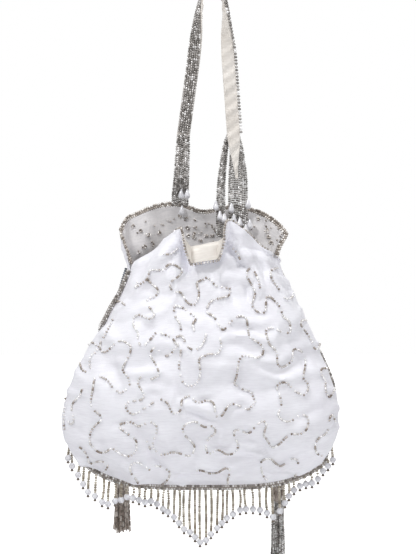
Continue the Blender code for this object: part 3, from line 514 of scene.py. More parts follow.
def strand_down(top, bottom, sway, steps=12):
    """Line from one place down to another with a slight sway."""
    line = []
    for step in range(steps + 1):
        share = step / steps
        side = math.sin(math.pi * share) * sway
        line.append((top.lerp(bottom, share) + Vector((side, 0.0, 0.0)), FRONTWARDS))
    return line


def build_cap(top):
    """Rings of a tassel's cap, as lines of beads."""
    rings = []
    for level in range(CAP_LEVELS):
        # The cap narrows towards both ends, and is a little less deep than wide
        radius = CAP_RADIUS * math.sin(math.pi * (0.32 + 0.5 * level / (CAP_LEVELS - 1)))
        ring = []
        for step in range(CAP_BEADS + 1):
            angle = 2 * math.pi * step / CAP_BEADS
            outwards = Vector((math.sin(angle), 0.8 * math.cos(angle), 0.0))
            sunk = Vector((0.0, 0.0, CAP_TOP + CAP_PITCH * level))
            ring.append((top + outwards * radius - sunk, outwards))
        rings.append(ring)
    return rings


def build_tassel(side, width, length, strands, silver_from, seed):
    """Make a tassel's beaded cap and its strands, and return the pieces."""
    chance = random.Random(seed)
    top = Vector(rope_paths[side][-1])
    bugle_lines = []
    silver_lines = []
    for number in range(strands):
        angle = number * GOLDEN_ANGLE
        across = math.sin(angle)
        deep = math.cos(angle)
        share = math.sqrt((number + 0.5) / strands)
        start = top + Vector((STRAND_DISC[0] * share * across, STRAND_DISC[1] * share * deep, -CAP_HEIGHT))
        reach = length * (1.0 - UNEVEN_ENDS * chance.random())
        spread = width / 2 * share
        end = Vector((top.x + spread * across, top.y + 0.7 * spread * deep, top.z - reach))
        line = strand_down(start, end, STRAND_SWAY * chance.uniform(-1.0, 1.0))
        cut = round(len(line) * silver_from)
        bugle_lines.append(line[:cut])
        if cut < len(line):
            silver_lines.append(line[cut - 1:])
    pieces = [
        string_beads(
            side + "_tassel_cap", build_cap(top), shaded_steel_beads, pitch=0.0016, thick=0.0017, seed=seed),
        string_beads(
            side + "_tassel_strands", bugle_lines, tassel_beads, pitch=0.0044, thick=0.0014,
            bugles=1.0, bugle=(0.0014, 0.0043), seed=seed)]
    if silver_lines:
        pieces.append(string_beads(
            side + "_tassel_silver", silver_lines, silver_beads,
            pitch=0.0015, thick=0.0015, long=0.0014, seed=seed + 1))
    stand_for(pieces[0], "taupe_beads", side + "_tassel")
    for piece in pieces[1:]:
        stand_for(piece, "taupe_beads")
    return pieces


tassels = {
    "left": build_tassel("left", width=0.0155, length=0.0575, strands=46, silver_from=1.0, seed=11),
    "right": build_tassel("right", width=0.0140, length=0.080, strands=36, silver_from=0.30, seed=12)}
for side, rope in ropes.items():
    path = [tuple(point) for point in rope_paths[side]]

# %% [markdown]
# ## The pouch's surface
#
# The pouch is a shape that follows a rule, so it is reckoned rather than pushed about. A
# place on it has a column, from -1 at the left seam to 1 at the right one, and a row, from
# -1 at the rim of the collar through 0 at the drawstring's neck to 1 at the bottom seam.
# The bag hangs twisted, so its side seams run forward on the left and back on the right.

# %% Pouch rule
BELLY_HALF = 0.1105
NECK_HALF = 0.0633
BODY_DEPTH = 0.088
NECK_DEPTH = 0.046
SIDE_HEIGHT = 0.166
NECK_DROP = 0.224  # from the handle's bend down to the neck
BOTTOM_SAG = 0.019  # how much lower the middle of the bottom hangs than its ends
AXIS_OFFSET = -0.0079  # the pouch hangs a little left of its handle's bend
SIDE_LEAN = 0.0022  # the pouch's middle sways by this much on its way down
LEAN_TOP = 0.27  # share of the side height at which it is furthest right
BELLY_HEIGHT = 0.76  # share of the way down at which the belly is widest
CORNER_TUCK = 0.27  # share of the belly's swelling that the bottom corners lose
DEEPEST_ROW = 0.5
DEEPEST_DROP = 0.62  # share of the side height at the deepest row
SEAM_TWIST = 24.0  # degrees
GATHERS = {"front": 12, "back": 10}
GATHER_DEPTH = 0.0018
GATHER_FADE = 0.22  # rows over which a gather dies away
WIDTH_SWELL = 1.2  # exponents above 1 let the pouch swell gently below its neck
DEPTH_SWELL = 1.1
TWIST_END = 0.55  # the row at which the twist has gone
SEAM_SPREAD = 0.25  # cubic share, which makes the columns wider towards the side seams
# How far below the neck the body of a sheet begins, at its ends and in its middle
CREST_END = {"left": 0.008, "right": 0.003}
CREST_DIP = {"front": -0.0117, "back": 0.0}


def smooth_step(start, end, value):
    """Rise from 0 to 1 between two values with level ends."""
    share = np.clip((value - start) / (end - start), 0.0, 1.0)
    return share * share * (3.0 - 2.0 * share)


def half_width(drop):
    """Half width of the pouch at a share of its side height."""
    swelling = np.sin(math.pi / 2 * (np.clip(drop, 0.0, BELLY_HEIGHT) / BELLY_HEIGHT) ** WIDTH_SWELL)
    tucked = 1.0 - CORNER_TUCK * ((drop - BELLY_HEIGHT) / (1.0 - BELLY_HEIGHT)) ** 2
    return NECK_HALF + (BELLY_HALF - NECK_HALF) * np.where(drop < BELLY_HEIGHT, swelling, tucked)


def half_depth(row):
    """Half depth of the pouch at a row."""
    swelling = np.sin(math.pi / 2 * (np.clip(row, 0.0, DEEPEST_ROW) / DEEPEST_ROW) ** DEPTH_SWELL)
    upper = (NECK_DEPTH + (BODY_DEPTH - NECK_DEPTH) * swelling) / 2
    turn = math.pi / 2 * (row - DEEPEST_ROW) / (1.0 - DEEPEST_ROW)
    return np.where(row < DEEPEST_ROW, upper, BODY_DEPTH / 2 * np.cos(turn))


def row_drop(row):
    """Share of the side height at a row."""
    turn = math.pi / 2 * (row - DEEPEST_ROW) / (1.0 - DEEPEST_ROW)
    lower = DEEPEST_DROP + (1.0 - DEEPEST_DROP) * np.sin(turn)
    return np.where(row < DEEPEST_ROW, DEEPEST_DROP * row / DEEPEST_ROW, lower)


def column_angle(side, column, row):
    """Angle round the pouch in degrees: 0 at the middle of the front, 90 at the right."""
    twist = SEAM_TWIST * (1.0 - smooth_step(0.0, TWIST_END, row))
    spread = 90.0 * ((1.0 - SEAM_SPREAD) * column + SEAM_SPREAD * column ** 3)
    return twist + spread if side == "front" else 180.0 + twist - spread


def neck_outward(angle):
    """Level direction out of the neck's oval."""
    way = np.stack((np.sin(angle) / NECK_HALF, -np.cos(angle) / (NECK_DEPTH / 2), angle * 0.0), axis=-1)
    return way / np.linalg.norm(way, axis=-1, keepdims=True)


def crest_drop(side, column):
    """Share of the side height at which the body of a sheet begins."""
    end = np.where(column < 0.0, CREST_END["left"], CREST_END["right"])
    middle = CREST_DIP[side]
    return (middle + (end - middle) * np.minimum(np.abs(column), 1.0) ** 1.8) / SIDE_HEIGHT


def body_point(side, column, row):
    """Places of the pouch between its neck and its bottom seam."""
    angle = np.radians(column_angle(side, column, row))
    start = crest_drop(side, column)
    drop = start + (1.0 - start) * row_drop(row)
    # Gathers die away down the cloth and at the side seams
    fade = np.exp(-np.maximum(row, 0.0) / GATHER_FADE) * (1.0 - np.minimum(np.abs(column), 1.0) ** 6)
    fold = GATHER_DEPTH * fade * np.cos(GATHERS[side] * angle)
    outward = neck_outward(angle)
    axis = AXIS_OFFSET + SIDE_LEAN * np.cos(2 * math.pi * (drop - LEAN_TOP))
    sag = BOTTOM_SAG * np.maximum(drop, 0.0) ** 3 * (1.0 - np.sin(angle) ** 4)
    return np.stack((
        axis + half_width(drop) * np.sin(angle) + outward[..., 0] * fold,
        -half_depth(row) * np.cos(angle) + outward[..., 1] * fold,
        -NECK_DROP - drop * SIDE_HEIGHT - sag), axis=-1)


print("the belly is", round(2000 * BELLY_HALF), "mm wide and the neck", round(2000 * NECK_HALF), "mm")

# %% [markdown]
# Above the neck the cloth goes on as a collar. At the back it stands up, pulled by the
# handle. At the front it stands only as two small peaks: between them it curls over and
# hangs down outside as a flap, and at both sides it is tucked in.

# %% Collar rule
LEFT_PEAK = -12.0  # degrees round the neck
RIGHT_PEAK = 15.5
PEAK_WIDTH = 8.0
FLAP_CURL = 168.0  # degrees by which the flap turns over outwards
TUCK_CURL = 95.0  # and by which the sides turn inwards
LEFT_TUCK = -18.0  # degrees round the neck at which the left side starts to turn in
TUCK_SPREAD = 18.0
RIGHT_TUCK = (45.0, 105.0)
CURL_END = 0.55  # share of the collar's height at which the turn is complete
RIM_NARROWING = 0.06  # share by which the front collar is narrower at its rim
CURL_STEPS = 16
FRONT_COLLAR = 0.022  # length of the front collar's cloth
BACK_COLLAR = 0.0475  # height of the back collar in the middle
BACK_COLLAR_ENDS = 0.026
BACK_COLLAR_DIP = 0.006  # the notch at the handle
BACK_COLLAR_LEAN = 0.008  # how far the collar's edge leans back


def front_curl(degrees):
    """Fold of the front collar: outwards above zero and inwards below it."""
    half = PEAK_WIDTH / 2
    from_left = (degrees - LEFT_PEAK + half) / PEAK_WIDTH
    from_right = (RIGHT_PEAK + half - degrees) / PEAK_WIDTH
    flap = np.clip(np.minimum(from_left, from_right), 0.0, 1.0)
    left = 1.0 - np.exp(np.minimum(degrees - LEFT_TUCK, 0.0) / TUCK_SPREAD)
    return FLAP_CURL * flap - TUCK_CURL * np.maximum(left, smooth_step(*RIGHT_TUCK, degrees))


def front_point(column, row):
    """Places of the front sheet with its collar."""
    column = column * (1.0 + RIM_NARROWING * np.minimum(row, 0.0))
    base = body_point("front", column, np.maximum(row, 0.0))
    degrees = column_angle("front", column, 0.0)
    curl = np.radians(front_curl(degrees))
    height = -np.minimum(row, 0.0)
    # On the right the crest falls in two slopes
    share = 1.0 - 0.38 * smooth_step(21.0, 36.0, degrees) - 0.54 * smooth_step(30.0, 58.0, degrees)
    long = FRONT_COLLAR * share
    out = 0.0
    rise = 0.0
    for number in range(CURL_STEPS):
        turned = curl * smooth_step(0.0, CURL_END, height * (number + 0.5) / CURL_STEPS)
        out = out + height * long / CURL_STEPS * np.sin(turned)
        rise = rise + height * long / CURL_STEPS * np.cos(turned)
    lifted = base + neck_outward(np.radians(degrees)) * np.expand_dims(out, -1)
    lifted[..., 2] += rise
    return lifted


def neck_oval(angle):
    """Places of the neck's plain oval."""
    across = AXIS_OFFSET + NECK_HALF * np.sin(angle)
    return np.stack((across, -NECK_DEPTH / 2 * np.cos(angle), angle * 0.0 - NECK_DROP), axis=-1)


def back_point(column, row):
    """Places of the back sheet with its standing collar."""
    base = body_point("back", column, np.maximum(row, 0.0))
    height = -np.minimum(row, 0.0)
    neck_angle = np.radians(column_angle("back", column, 0.0))
    rightwards = (1.0 + column) / 2
    # The collar turns a little to the left and widens as it rises, and its right lobe is rounder
    angle = neck_angle - math.radians(12.0) * (1.0 - rightwards) * height
    ends = np.minimum(np.abs(column), 1.0) ** (2.0 + 3.0 * smooth_step(0.1, 0.7, column))
    notch = BACK_COLLAR_DIP * np.exp(-(np.sin(angle) / 0.2) ** 2)
    rise = BACK_COLLAR + (BACK_COLLAR_ENDS - BACK_COLLAR) * ends - notch
    width = 1.0 + (0.05 + 0.10 * rightwards) * height ** 2
    oval = neck_oval(angle)
    fold = base - neck_oval(neck_angle)
    lean = BACK_COLLAR_LEAN * (1.0 - 0.8 * ends) * height
    collar = np.stack((
        AXIS_OFFSET + (oval[..., 0] - AXIS_OFFSET) * width + fold[..., 0],
        (oval[..., 1] + fold[..., 1]) * (1.0 - 0.1 * height) + lean,
        base[..., 2] + rise * height), axis=-1)
    return np.where(np.expand_dims(height > 0.0, -1), collar, base)


# %% [markdown]
# ## Wrinkles
#
# A pouch of thin silk is never smooth. Small dents come from handling and follow no line,
# so they are a noise whose folds run mostly across the cloth. The larger folds are where
# the drawstring pulls the cloth and where the hanging weight turns it in, and each one is
# laid down as a line of the picture with a width and a height, like a sculptor's stroke.

# %% Folds
# Each fold: its height and its half width in millimetres, and its line in picture dots
FRONT_FOLDS = (
    (2.2, 3.2, ((228, 240), (238, 249), (249, 259), (255, 270), (259, 284), (261, 300))),
    (-2.2, 3.0, ((226, 246), (234, 258), (243, 268), (247, 284), (248, 300))),
    (2.0, 3.6, ((178, 232), (172, 246), (160, 262), (148, 278), (138, 294))),
    (-2.4, 2.6, ((184, 240), (185, 252), (187, 268), (190, 284))),
    (1.2, 4.5, ((180, 250), (178, 268), (172, 286))),
    (-1.4, 5.0, ((216, 272), (226, 286), (236, 304))),
    (-1.6, 4.0, ((264, 246), (272, 262), (284, 284), (292, 304))),
    (1.4, 5.0, ((272, 248), (284, 270), (298, 298))),
    (-1.8, 6.5, ((134, 428), (146, 440), (158, 455), (164, 463))),
    (1.6, 6.0, ((160, 424), (172, 442), (186, 456))),
    (-1.3, 3.2, ((112, 423), (122, 421), (134, 418))),
    (-2.0, 3.4, ((186, 409), (198, 413), (210, 418), (222, 423))),
    (1.6, 3.6, ((184, 402), (198, 405), (212, 410))),
    (-1.5, 3.0, ((195, 399), (206, 397), (216, 396))),
    (-1.8, 3.6, ((234, 380), (242, 388), (250, 392), (256, 400))),
    (1.4, 5.0, ((240, 372), (256, 378), (268, 380))),
    (-1.6, 3.0, ((206, 446), (220, 444), (236, 443))),
    (1.5, 3.4, ((206, 451), (222, 450), (240, 448), (258, 444))),
    (-1.7, 3.2, ((260, 443), (266, 450), (272, 457))),
    (-1.4, 5.0, ((170, 378), (180, 390), (186, 398))),
    (-1.2, 4.0, ((138, 320), (148, 324), (156, 330))),
    (-1.3, 6.0, ((112, 350), (118, 368), (124, 392))),
    (1.2, 6.0, ((96, 362), (104, 384), (110, 404))),
    (-1.4, 4.5, ((196, 470), (212, 472), (228, 470))),
    (1.4, 4.0, ((196, 463), (212, 465), (230, 463))),
    (-1.2, 4.0, ((150, 470), (166, 468), (182, 470))),
    (-1.3, 4.0, ((276, 466), (292, 458), (308, 450))),
    (-1.2, 5.0, ((288, 330), (300, 352), (308, 372))),
    (-1.0, 4.0, ((318, 404), (304, 414), (292, 420))),
    (-1.2, 4.5, ((84, 430), (98, 440), (108, 456))),
    (-3.2, 9.0, ((282, 252), (287, 264), (291, 276), (297, 290))),
    (-1.7, 3.6, ((150, 450), (156, 459), (168, 469))),
    (1.4, 3.4, ((120, 461), (134, 469), (146, 479))),
    (-1.5, 3.0, ((174, 477), (190, 471), (208, 468))),
    (1.3, 3.4, ((204, 479), (224, 476), (242, 470))),
    (-1.5, 3.6, ((258, 472), (278, 475), (298, 468))),
    (1.3, 3.0, ((284, 462), (296, 456), (312, 446))),
    (-1.4, 3.6, ((84, 462), (98, 470), (114, 475))),
    (-1.3, 3.0, ((226, 412), (240, 404), (250, 408))),
    (1.2, 3.0, ((140, 392), (152, 386), (166, 388))),
)
# The rope presses a hollow into the back sheet where it leaves the neck
BACK_FOLDS = (
    (-3.6, 10.0, ((124, 258), (120, 272), (115, 286), (108, 304))),
    (1.5, 5.0, ((240, 262), (236, 290), (230, 330))),
    (-1.5, 5.0, ((200, 262), (204, 290), (212, 330))),
    (1.4, 6.0, ((170, 270), (160, 310), (140, 350))),
    (-1.5, 6.0, ((250, 400), (220, 430), (190, 440))),
    (1.4, 5.0, ((140, 430), (170, 450), (200, 460))),
)
FOLDS = {"front": FRONT_FOLDS, "back": BACK_FOLDS}
# %% [markdown]
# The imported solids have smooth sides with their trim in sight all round. On the bag the
# sides run in above the belly, and the silk bulges over its side seams and hides the trim.
# Both are laid on here, at heights given in metres below the handle's bend. Folds can't
# sink deep at the casing, because the cloth can't go into the cord that it holds.

# %% Wrinkled sheets
FOLD_STRENGTH = 2.1
FOLD_POINTS = 18
COLLAR_DENTS = {"front": 0.35, "back": 0.8}  # share of the dents that a collar keeps
CASING_ROW = DEEPEST_ROW / 5
CASING_FLOOR = 0.0007  # the deepest that a fold can be at the casing
CASING_SLOPE = 0.02  # and how much deeper beside it
# The most that each side is drawn in, and the heights over which that starts and ends
DRAWN_LEFT = (0.055, (0.262, 0.295), (0.315, 0.365))
DRAWN_RIGHT = (0.060, (0.235, 0.262), (0.285, 0.345))
LIP_REACH = 0.0064
LIP_COLUMNS = 0.07  # how far in from the seam the lip is highest
LIP_LEFT = (0.272, 0.292)
LIP_RIGHT = ((0.25, 0.262, 0.285), (0.40, 0.320, 0.345))
LIP_RIGHT_END = (0.365, 0.392)
NOISE_CELLS = 64


def fold_lift(side, places):
    """Height of a sheet's folds at each place, in metres."""
    flat = places.reshape(-1, 3)[:, (0, 2)]
    lift = np.zeros(len(flat))
    for height, half_wide, dots in FOLDS[side]:
        line = smooth_path([dot_place(*dot) for dot in dots], FOLD_POINTS)
        points = np.array([(point.x, point.z) for point in line])
        gaps = np.linalg.norm(flat[:, None] - points[None], axis=2)
        nearest = gaps.argmin(axis=1)
        tapering = np.sin(math.pi * (nearest + 0.5) / len(line)) ** 0.7
        lift += 0.001 * height * tapering * np.exp(-(gaps.min(axis=1) / (0.001 * half_wide)) ** 2)
    return lift.reshape(places.shape[:-1])


def noise_grid(places, size, seed, stretch=(1.0, 1.0, 1.0)):
    """Smooth noise from -1 to 1 at each place, whose bumps are a given size in metres."""
    chance = np.random.default_rng(seed)
    flat = places.reshape(-1, 3) / (size * np.array(stretch)) + chance.uniform(0.0, 50.0, 3)
    table = chance.uniform(-1.0, 1.0, (NOISE_CELLS, NOISE_CELLS, NOISE_CELLS))
    whole = np.floor(flat).astype(int)
    share = flat - whole
    share = share * share * (3.0 - 2.0 * share)
    total = np.zeros(len(flat))
    for corner in np.ndindex(2, 2, 2):
        near = [share[:, axis] if corner[axis] else 1.0 - share[:, axis] for axis in range(3)]
        cell = (whole + np.array(corner)) % NOISE_CELLS
        total += np.prod(near, axis=0) * table[cell[:, 0], cell[:, 1], cell[:, 2]]
    return total.reshape(places.shape[:-1])


def crumple(places):
    """Height of the small dents of handled silk, in metres."""
    # The places are bent first, so that the dents wander. Then come broad dents, creases and small dents
    bent = places + 0.008 * np.stack([noise_grid(places, 0.03, seed) for seed in (1, 2, 3)], axis=-1)
    broad = noise_grid(bent, 0.034, 4, (1.0, 1.0, 0.8))
    creases = 1.0 - 2.6 * np.abs(noise_grid(bent, 0.026, 5, (1.5, 1.0, 0.6))) ** 0.8
    small = noise_grid(bent, 0.009, 6, (1.4, 1.0, 0.7))
    return 0.001 * (2.3 * broad + 2.1 * creases + 1.0 * small)


def drawn_in(places):
    """Places with the pouch's sides drawn in between its neck and its belly."""
    below = -places[..., 2]
    aside = places[..., 0] - AXIS_OFFSET
    left, right = [most * smooth_step(*start, below) * (1.0 - smooth_step(*end, below))
                   for most, start, end in (DRAWN_LEFT, DRAWN_RIGHT)]
    share = left + (right - left) * smooth_step(-0.05, 0.05, aside)
    return np.stack((places[..., 0] - share * aside, places[..., 1], places[..., 2]), axis=-1)


def edge_lip(places, normals, column, row):
    """Shift of the front sheet where it bulges out over its side seams."""
    below = -places[..., 2]
    left = smooth_step(*LIP_LEFT, below) * (1.0 - smooth_step(0.94, 1.0, row)) * (column < 0.0)
    right = sum(share * smooth_step(start, end, below) for share, start, end in LIP_RIGHT)
    right = right * (1.0 - smooth_step(*LIP_RIGHT_END, below)) * (column > 0.0)
    inside = (1.0 - np.abs(column)) / LIP_COLUMNS
    shift = LIP_REACH * (left + right) * inside * np.exp(1.0 - inside)
    outwards = np.where(np.expand_dims(column < 0.0, -1), normals[:, :1], normals[:, -1:]) * (1.0, 0.0, 1.0)
    outwards = outwards / np.maximum(np.linalg.norm(outwards, axis=-1, keepdims=True), 1e-9)
    return outwards * np.expand_dims(shift, -1)


def wrinkled(side, column, row):
    """Places of a sheet with its wrinkles, and its unit normals."""
    point = front_point if side == "front" else back_point
    places = drawn_in(point(column, row))
    normals = unit_normals(side, places)
    if side == "front":
        places = places + edge_lip(places, normals, column, row)
        normals = unit_normals(side, places)
    # The cloth is calm beside its seams, and the folds end below the collar's rim
    calm = smooth_step(0.0, 0.1, 1.0 - np.abs(column)) * smooth_step(0.0, 0.06, 1.0 - row)
    low = COLLAR_DENTS[side]
    lift = crumple(places) * (low + (1.0 - low) * smooth_step(-0.3, 0.12, row))
    lift = lift + FOLD_STRENGTH * fold_lift(side, places) * smooth_step(-0.95, -0.35, row)
    beside = smooth_step(0.012, 0.09, np.abs(row - CASING_ROW))
    lift = np.maximum(lift, -CASING_FLOOR - CASING_SLOPE * beside)
    places = places + normals * np.expand_dims(lift * calm, -1)
    return places, unit_normals(side, places)


def unit_normals(side, places):
    """Unit normals of a grid of places, out of the pouch."""
    across = np.gradient(places, axis=1)
    down = np.gradient(places, axis=0)
    # The two bottom corners are pinched to a point, so they take their neighbours' directions
    for corner, inner in ((0, 1), (-1, -2)):
        down[-1, corner] = down[-1, inner]
    for corner, inner in ((0, 2), (-1, -3), (1, 2), (-2, -3)):
        across[-1, corner] = across[-1, inner]
    normals = np.cross(across, down) * (-1.0 if side == "front" else 1.0)
    return normals / np.maximum(np.linalg.norm(normals, axis=-1, keepdims=True), 1e-12)


# %% [markdown]
# ## Silk panels and linings
#
# Each panel is a closed sheet 1.2 mm thick, which is the silk with its stiffened backing,
# and each lining another, 0.8 mm thick, just inside it. They share one rule for their
# wrinkles, so the lining never pokes through. At the casing the lining lies deeper, to
# leave room for the drawstring. The UV map is the cloth's flat cut.

# %% Cloth sheets
PIECE_GAP = 0.0003
CASING_DEPTH = 0.0028
CASING_WIDTH = 0.022  # rows
SILK_OFFSETS = (0.00135, 0.00015)
LINING_OFFSETS = (-0.00015, -0.00095)
FLAT_FULLNESS = 1.25  # the flat cut is a quarter wider than the belly
SHARP_ANGLE = math.radians(70.0)
FRONT_COLLAR_ROWS = 20
BACK_COLLAR_ROWS = 22
PEAK_COLUMNS = (-0.52, -0.12)  # where the collar turns most


def sheet_lines(collar, upper, lower):
    """Rows of a sheet from its rim to the bottom seam."""
    return np.concatenate((
        np.linspace(-1.0, 0.0, collar, endpoint=False),
        np.linspace(0.0, DEEPEST_ROW, upper, endpoint=False), np.linspace(DEEPEST_ROW, 1.0, lower)))


def cloth_sheet(name, side, columns, rows, offsets, material, node):
    """Build one sheet of cloth between two offsets, and return it with its outer grid."""
    column, row = np.meshgrid(columns, rows)
    places, normals = wrinkled(side, column, row)
    places[-1, :, 1] = (-1.0 if side == "front" else 1.0) * PIECE_GAP / 2
    sunk = CASING_DEPTH if offsets is LINING_OFFSETS else 0.0
    casing = sunk * np.exp(-((row - CASING_ROW) / CASING_WIDTH) ** 2)
    outer, inner = [places + normals * np.expand_dims(offset - casing, -1) for offset in offsets]
    high, wide = column.shape
    count = high * wide
    index = np.arange(count).reshape(high, wide)
    quads = np.stack((index[:-1, :-1], index[:-1, 1:], index[1:, 1:], index[1:, :-1]), axis=-1)
    quads = quads.reshape(-1, 4)
    border = np.concatenate((index[0], index[1:, -1], index[-1, -2::-1], index[-2:0:-1, 0]))
    following = np.roll(border, -1)
    walls = np.stack((border, border + count, following + count, following), axis=-1)
    if side == "front":
        quads = quads[:, ::-1]
        walls = walls[:, ::-1]
    faces = np.concatenate((quads, quads[:, ::-1] + count, walls))
    mesh = bpy.data.meshes.new(name)
    vertices = np.concatenate((outer.reshape(-1, 3), inner.reshape(-1, 3)))
    mesh.from_pydata(vertices.tolist(), [], faces.tolist())
    fallen = np.linalg.norm(np.diff(places[:, wide // 2], axis=0), axis=1)
    down = np.repeat(np.concatenate(([0.0], np.cumsum(fallen)))[:, None], wide, axis=1)
    flat = np.stack((column * BELLY_HALF * FLAT_FULLNESS, down), axis=-1).reshape(-1, 2)
    flat = np.concatenate((flat, flat))
    layer = mesh.uv_layers.new(name="cloth")
    corners = np.zeros(len(mesh.loops), dtype=int)
    mesh.loops.foreach_get("vertex_index", corners)
    layer.data.foreach_set("uv", flat[corners].ravel())
    mesh.shade_smooth()
    mesh.set_sharp_from_angle(angle=SHARP_ANGLE)
    mesh.materials.append(material)
    item = new_object(name, mesh)
    stand_for(item, "silk" if offsets is SILK_OFFSETS else "satin", node)
    return {"places": places, "normals": normals, "outer": outer, "inner": inner, "quads": quads}


def front_columns(half_count):
    """Columns of the front, closer together where the collar turns at its peaks."""
    even_columns = np.linspace(-1.0, 1.0, 2 * half_count + 1)
    steps = np.ones(len(even_columns))
    for peak in PEAK_COLUMNS:
        steps += 2.5 * np.exp(-((even_columns - peak) / 0.1) ** 2)
    total = np.concatenate(([0.0], np.cumsum((steps[1:] + steps[:-1]) / 2)))
    return np.interp(np.linspace(0.0, total[-1], len(total)), total, even_columns)


BACK_COLUMNS = np.linspace(-1.0, 1.0, 131)
FRONT_ROWS = sheet_lines(FRONT_COLLAR_ROWS, 52, 52)
BACK_ROWS = sheet_lines(BACK_COLLAR_ROWS, 44, 44)
LINING_ROWS = sheet_lines(18, 32, 32)
FRONT = cloth_sheet(
    "front_silk", "front", front_columns(84), FRONT_ROWS, SILK_OFFSETS, dupion_silk, "front_panel")
BACK = cloth_sheet(
    "back_silk", "back", BACK_COLUMNS, BACK_ROWS, SILK_OFFSETS, dupion_silk, "back_panel")
cloth_sheet(
    "front_satin", "front", front_columns(60), LINING_ROWS, LINING_OFFSETS, satin_lining, "front_lining")
BACK_LINING = cloth_sheet(
    "back_satin", "back", BACK_COLUMNS[::2], LINING_ROWS, LINING_OFFSETS, shaded_silk_lining, "back_lining")

# %% [markdown]
# ## Vermicelli embroidery
#
# The silk is worked all over with vermicelli: short lines that wander without crossing,
# as thin noodles would on a plate. Each is a string of silver-lined bugles with small
# seed beads between them. The lines are drawn in picture dots, and a ray from the camera
# through each dot finds its place on the cloth, so they bend with every fold.

